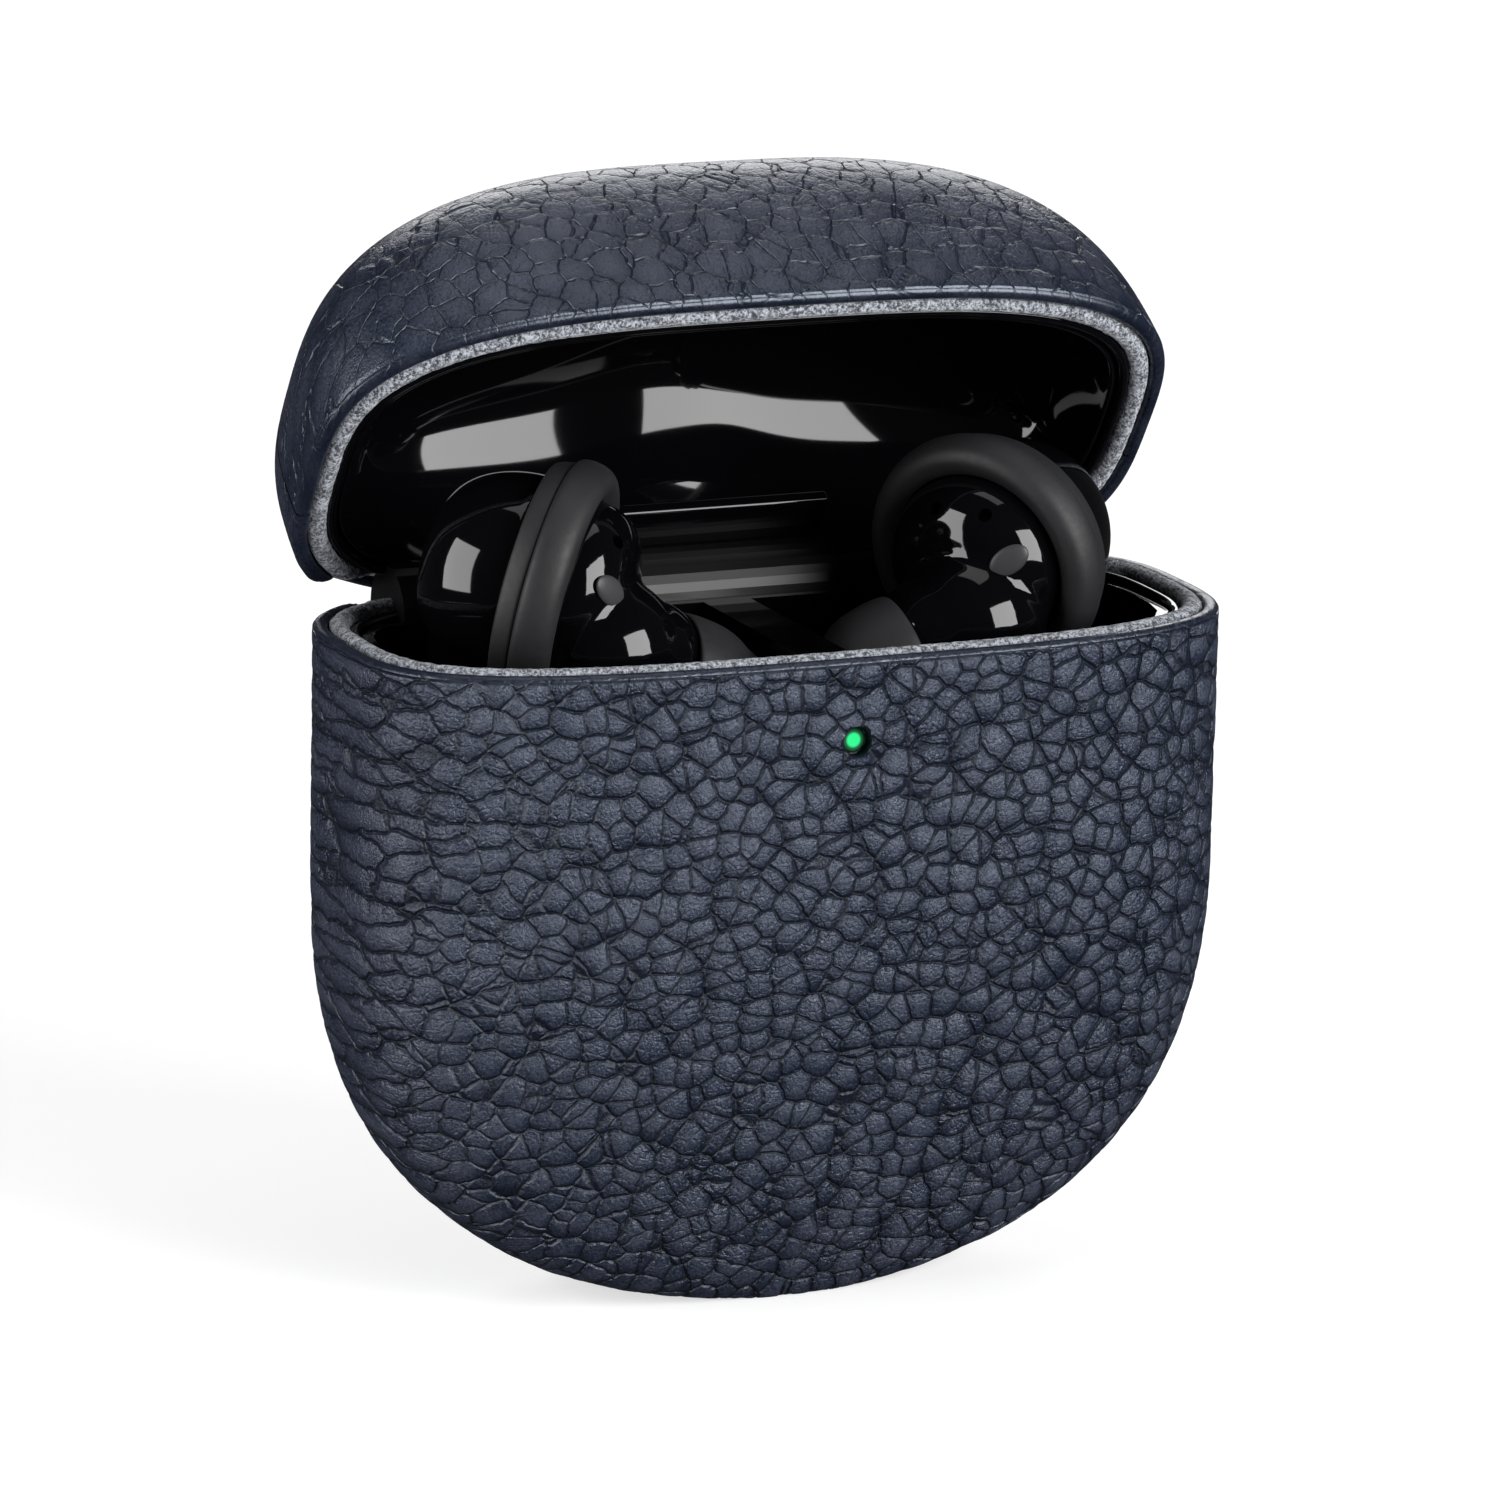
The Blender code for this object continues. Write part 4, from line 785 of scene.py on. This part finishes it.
earbud = {
    "axis": (-0.799, -0.560, -0.218),  # of the right-hand one, towards the ear
    "cap": (7.15 * mm, 7.1 * mm),  # radius and length behind the band
    "band": (8.95 * mm, 6.55 * mm, 4.3 * mm),  # outer and inner radius, width
    "dome": 3.4 * mm,  # how far the ear side swells past the band
    "stem": (3.9 * mm, 1.6 * mm),  # radius, and its top above the band's middle
    "bulge": 5.3 * mm,
    "nozzle": 2.3 * mm,
    "tip": (4.2 * mm, 3.0 * mm),  # radius and half length
    "voxel": 0.2 * mm,
    # the wear sensor's window, from the band's middle: place, way it faces, half sizes, turn
    "sensor": ((-1.46, -6.40, 0.93), (-0.42, -0.905, 0.057), (1.5, 0.95, 0.3), 0.6),
    "ports": [  # sound openings: place, way each faces
        ((-5.11, -1.88, 3.95), (-0.83, -0.345, 0.439)),
        ((-2.66, -4.86, 3.91), (-0.494, -0.723, 0.483)),
    ],
    "port": (0.5 * mm, 0.9 * mm),  # radius and depth
}


def softened(points, rounds):
    # corner cutting, which keeps both ends
    for step in range(rounds):
        cut = [points[0]]
        for (a, b), (c, d) in zip(points, points[1:]):
            cut += [(0.75 * a + 0.25 * c, 0.75 * b + 0.25 * d)]
            cut += [(0.25 * a + 0.75 * c, 0.25 * b + 0.75 * d)]
        points = cut + [points[-1]]
    return points


def turnedAbout(place, axis):
    return Matrix.Translation(place) @ Vector(axis).to_track_quat("Z", "Y").to_matrix().to_4x4()


def spun(profile, place=None, steps=96, closed=False):
    # profile is (distance along the axis, radius) in order
    bm = bmesh.new()
    verts = [bm.verts.new((radius, 0, along)) for along, radius in profile]
    edges = [bm.edges.new(pair) for pair in zip(verts, verts[1:])]
    if closed:
        edges.append(bm.edges.new((verts[-1], verts[0])))
    bmesh.ops.spin(
        bm,
        geom=verts + edges,
        axis=(0, 0, 1),
        cent=(0, 0, 0),
        angle=2 * math.pi,
        steps=steps,
        use_merge=True,
    )
    bmesh.ops.remove_doubles(bm, verts=bm.verts, dist=0.001 * mm)
    bmesh.ops.recalc_face_normals(bm, faces=bm.faces)
    if place:
        bm.transform(place)
    return bm


def mirroredX(bm):
    bmesh.ops.scale(bm, vec=(-1, 1, 1), verts=bm.verts)
    bmesh.ops.reverse_faces(bm, faces=bm.faces)
    return bm


def ball(radius, place, scale=(1, 1, 1)):
    bm = bmesh.new()
    bmesh.ops.create_uvsphere(bm, u_segments=48, v_segments=24, radius=radius)
    bmesh.ops.scale(bm, vec=scale, verts=bm.verts)
    bm.transform(Matrix.Translation(place))
    return bm


def merged(parts, voxel, smoothing):
    # one flowing skin over solids that overlap
    whole = bmesh.new()
    for part in parts:
        mesh = bpy.data.meshes.new("mergePart")
        part.to_mesh(mesh)
        part.free()
        whole.from_mesh(mesh)
        bpy.data.meshes.remove(mesh)
    mesh = bpy.data.meshes.new("merge")
    whole.to_mesh(mesh)
    whole.free()
    obj = bpy.data.objects.new("merge", mesh)
    bpy.context.scene.collection.objects.link(obj)
    remesh = obj.modifiers.new("skin", "REMESH")
    remesh.mode, remesh.voxel_size = "VOXEL", voxel
    applied(obj)
    out = bmesh.new()
    out.from_mesh(obj.data)
    bpy.data.objects.remove(obj)
    for step in range(smoothing):
        bmesh.ops.smooth_vert(
            out, verts=out.verts, factor=0.5, use_axis_x=True, use_axis_y=True, use_axis_z=True
        )
    return out


bandLow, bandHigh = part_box("stability_band_right")
tipLow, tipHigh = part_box("ear_tip_right")
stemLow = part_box("bud_cap_right")[0]
budAxis = Vector(earbud["axis"]).normalized()
bandCentre = (bandLow + bandHigh) / 2
tipCentre = (tipLow + tipHigh) / 2 + Vector((-0.6, 1.3, -1.5)) * mm
bulgeCentre = bandCentre + Vector((-2.6, -3.0, -4.2)) * mm
tipAxis = (tipCentre - bulgeCentre).normalized()


def budCap():
    radius, length = earbud["cap"]
    near = -earbud["band"][2] / 2 + 0.1 * mm
    profile = [(near, 0), (near, radius)]
    for i in range(1, 17):
        turn = math.pi / 2 * i / 16
        profile.append((near - length * math.sin(turn), radius * math.cos(turn) ** 0.62))
    profile[-1] = (profile[-1][0], 0)
    stemRadius, above = earbud["stem"]
    foot = Vector((bandCentre.x + 3.9 * mm, bandCentre.y + 3.1 * mm, stemLow.z))
    head = Vector((foot.x, foot.y, bandCentre.z + above))
    parts = [
        spun(profile, turnedAbout(bandCentre, budAxis)),
        rod(stemRadius, foot, head, 64, 1.2 * mm),
    ]
    return merged(parts, earbud["voxel"], 14)


def budHousing():
    outer, inner, width = earbud["band"]
    near, face = -width / 2 + 0.2 * mm, width / 2
    profile = [(near, 0), (near, inner - 0.1 * mm), (face - 0.4 * mm, inner - 0.1 * mm)]
    for i in range(1, 17):
        turn = math.pi / 2 * i / 16
        along = face - 0.4 * mm + (earbud["dome"] + 0.4 * mm) * math.sin(turn)
        profile.append((along, (inner - 0.1 * mm) * math.cos(turn) ** 0.7))
    profile[-1] = (profile[-1][0], 0)
    middle = bulgeCentre.lerp(tipCentre, 0.35)
    parts = [
        spun(profile, turnedAbout(bandCentre, budAxis)),
        ball(earbud["bulge"], bulgeCentre),
        ball(earbud["bulge"] * 0.86, middle),
        rod(earbud["nozzle"], bulgeCentre, tipCentre + tipAxis * 2.2 * mm, 48, 0.4 * mm),
    ]
    housing = merged(parts, earbud["voxel"], 26)
    radius, deep = earbud["port"]
    cutters = []
    for place, way in earbud["ports"]:
        mouth, way = bandCentre + Vector(place) * mm, Vector(way).normalized()
        cutters.append(rod(radius, mouth - way * deep, mouth + way * 1.5 * mm, 32))
    return withHoles(housing, cutters)


def budSensor():
    place, way, size, turn = earbud["sensor"]
    bm = ball(mm, (0, 0, 0), size)
    bm.transform(Matrix.Rotation(turn, 4, "Z"))
    bm.transform(turnedAbout(bandCentre + Vector(place) * mm, way))
    return bm


def budBand():
    outer, inner, width = earbud["band"]
    half = width / 2
    groove = -half * 0.3
    profile = [
        (-half, inner),
        (-half, outer - 1.05 * mm),
        (-half + 0.1 * mm, outer - 0.7 * mm),
        (groove - 0.22 * mm, outer - 0.42 * mm),
        (groove - 0.02 * mm, outer - 0.5 * mm),
        (groove, outer - 0.62 * mm),
        (groove + 0.02 * mm, outer - 0.3 * mm),
        (groove + 0.3 * mm, outer - 0.02 * mm),
        (half * 0.25, outer + 0.02 * mm),
        (half * 0.8, outer - 0.35 * mm),
        (half * 1.02, outer - 1.25 * mm),
        (half * 0.9, inner + 0.5 * mm),
        (half * 0.7, inner),
    ]
    return spun(softened(profile, 2), turnedAbout(bandCentre, budAxis), 128, True)


def budTip():
    radius, half = earbud["tip"]
    bore = earbud["nozzle"] - 0.35 * mm
    profile = [
        (half, bore),
        (half * 1.02, bore + 0.9 * mm),
        (half * 0.72, radius * 0.74),
        (half * 0.25, radius * 0.93),
        (-half * 0.4, radius),
        (-half * 0.97, radius * 1.0),
        (-half * 1.02, radius - 0.3 * mm),
        (-half * 0.9, radius - 0.6 * mm),
        (half * 0.1, radius * 0.86 - 0.6 * mm),
        (half * 0.45, bore + 0.5 * mm),
        (-half * 0.5, bore + 0.5 * mm),
        (-half * 0.5, bore),
    ]
    place = turnedAbout(tipCentre, tipAxis)
    return spun(softened(profile, 3), place @ Matrix.Diagonal((1.12, 1, 1, 1)), 96, True)


budPieces = [
    # maker, name, node, material, slot, where the shading turns sharp
    (budCap, "budCap", "bud_cap", "gloss", "gloss_black", 50),
    (budHousing, "budHousing", "bud_housing", "gloss", "gloss_black", 50),
    (budBand, "stabilityBand", "stability_band", "silicone", "grey_silicone", 60),
    (budTip, "earTip", "ear_tip", "silicone", "grey_silicone", 60),
    (budSensor, "budSensor", "sensor_window", "sensor", "smoked_lens", 60),
]
for maker, name, node, material, slotName, sharp in budPieces:
    shape = maker()
    for hand in ("right", "left"):
        bm = shape.copy()
        if hand == "left":
            mirroredX(bm)
        bmesh.ops.recalc_face_normals(bm, faces=bm.faces)
        meshObject(
            name + hand.capitalize(),
            bm,
            hand + "_earbud",
            materials[material],
            [f"{node}_{hand}"],
            sharp,
        )
    shape.free()
print("earbuds made")

view = {
    "azimuth": 23.541,
    "elevation": 13.861,
    "roll": 1.162,
    "away": 0.60093,
    "target": (0, 0, 0.038),
    "lens": 207.35,
    "shift": (-0.01129, -0.00145),
}


def placeCamera():
    azimuth, elevation = math.radians(view["azimuth"]), math.radians(view["elevation"])
    ahead = Vector(
        (
            math.sin(azimuth) * math.cos(elevation),
            math.cos(azimuth) * math.cos(elevation),
            -math.sin(elevation),
        )
    )
    right = Vector((math.cos(azimuth), -math.sin(azimuth), 0))
    up = right.cross(ahead)
    roll = math.radians(view["roll"])
    camRight = right * math.cos(roll) + up * math.sin(roll)
    camUp = up * math.cos(roll) - right * math.sin(roll)
    camera = bpy.data.objects.new("camera", bpy.data.cameras.new("camera"))
    bpy.context.scene.collection.objects.link(camera)
    turn = Matrix((camRight, camUp, -ahead)).transposed().to_4x4()
    camera.matrix_world = Matrix.Translation(Vector(view["target"]) - ahead * view["away"]) @ turn
    camera.data.lens = view["lens"]
    camera.data.sensor_width = 36.0
    camera.data.shift_x, camera.data.shift_y = view["shift"]
    camera.data.clip_start = 0.01
    bpy.context.scene.camera = camera


def areaLight(name, place, target, size, power):
    lamp = bpy.data.lights.new(name, "AREA")
    lamp.shape = "RECTANGLE"
    lamp.size, lamp.size_y = size
    lamp.energy = power
    obj = bpy.data.objects.new(name, lamp)
    bpy.context.scene.collection.objects.link(obj)
    obj.location = place
    obj.rotation_euler = (Vector(target) - Vector(place)).to_track_quat("-Z", "Y").to_euler()


studio = {
    # name: place, size, power
    "softLeft": ((-0.70, -0.02, 0.19), (0.42, 0.60), 8.6),
    "softRight": ((0.36, -0.60, 0.27), (0.50, 0.48), 11.5),
    "softTop": ((0.10, 0.06, 0.74), (0.44, 0.40), 1.0),
    "softBack": ((0.30, 0.72, 0.42), (0.50, 0.40), 3.0),
}
floorLook = {"pale": (0.42, 0.42, 0.42, 1), "glow": 0.6}
worldGlow = 0.03


def makeFloor():
    bm = bmesh.new()
    bmesh.ops.create_grid(bm, x_segments=4, y_segments=4, size=3.0)
    mesh = bpy.data.meshes.new("floor")
    bm.to_mesh(mesh)
    bm.free()
    floor = bpy.data.objects.new("floor", mesh)
    bpy.context.scene.collection.objects.link(floor)
    fixed = {
        "Base Color": floorLook["pale"],
        "Emission Color": (1, 1, 1, 1),
        "Emission Strength": floorLook["glow"],
        "Roughness": 0.8,
        "Specular IOR Level": 0.1,
    }
    material = newMaterial("paleFloor", fixed)[0]
    mesh.materials.append(material)
    floor.visible_glossy = False  # the floor stays out of reflections


placeCamera()
makeFloor()
for name, (place, size, power) in studio.items():
    areaLight(name, place, view["target"], size, power)
world = bpy.data.worlds.new("studio")
bpy.context.scene.world = world
world.use_nodes = True
world.node_tree.nodes["Background"].inputs["Color"].default_value = (1, 1, 1, 1)
world.node_tree.nodes["Background"].inputs["Strength"].default_value = worldGlow
bpy.context.scene.view_settings.view_transform = "Standard"
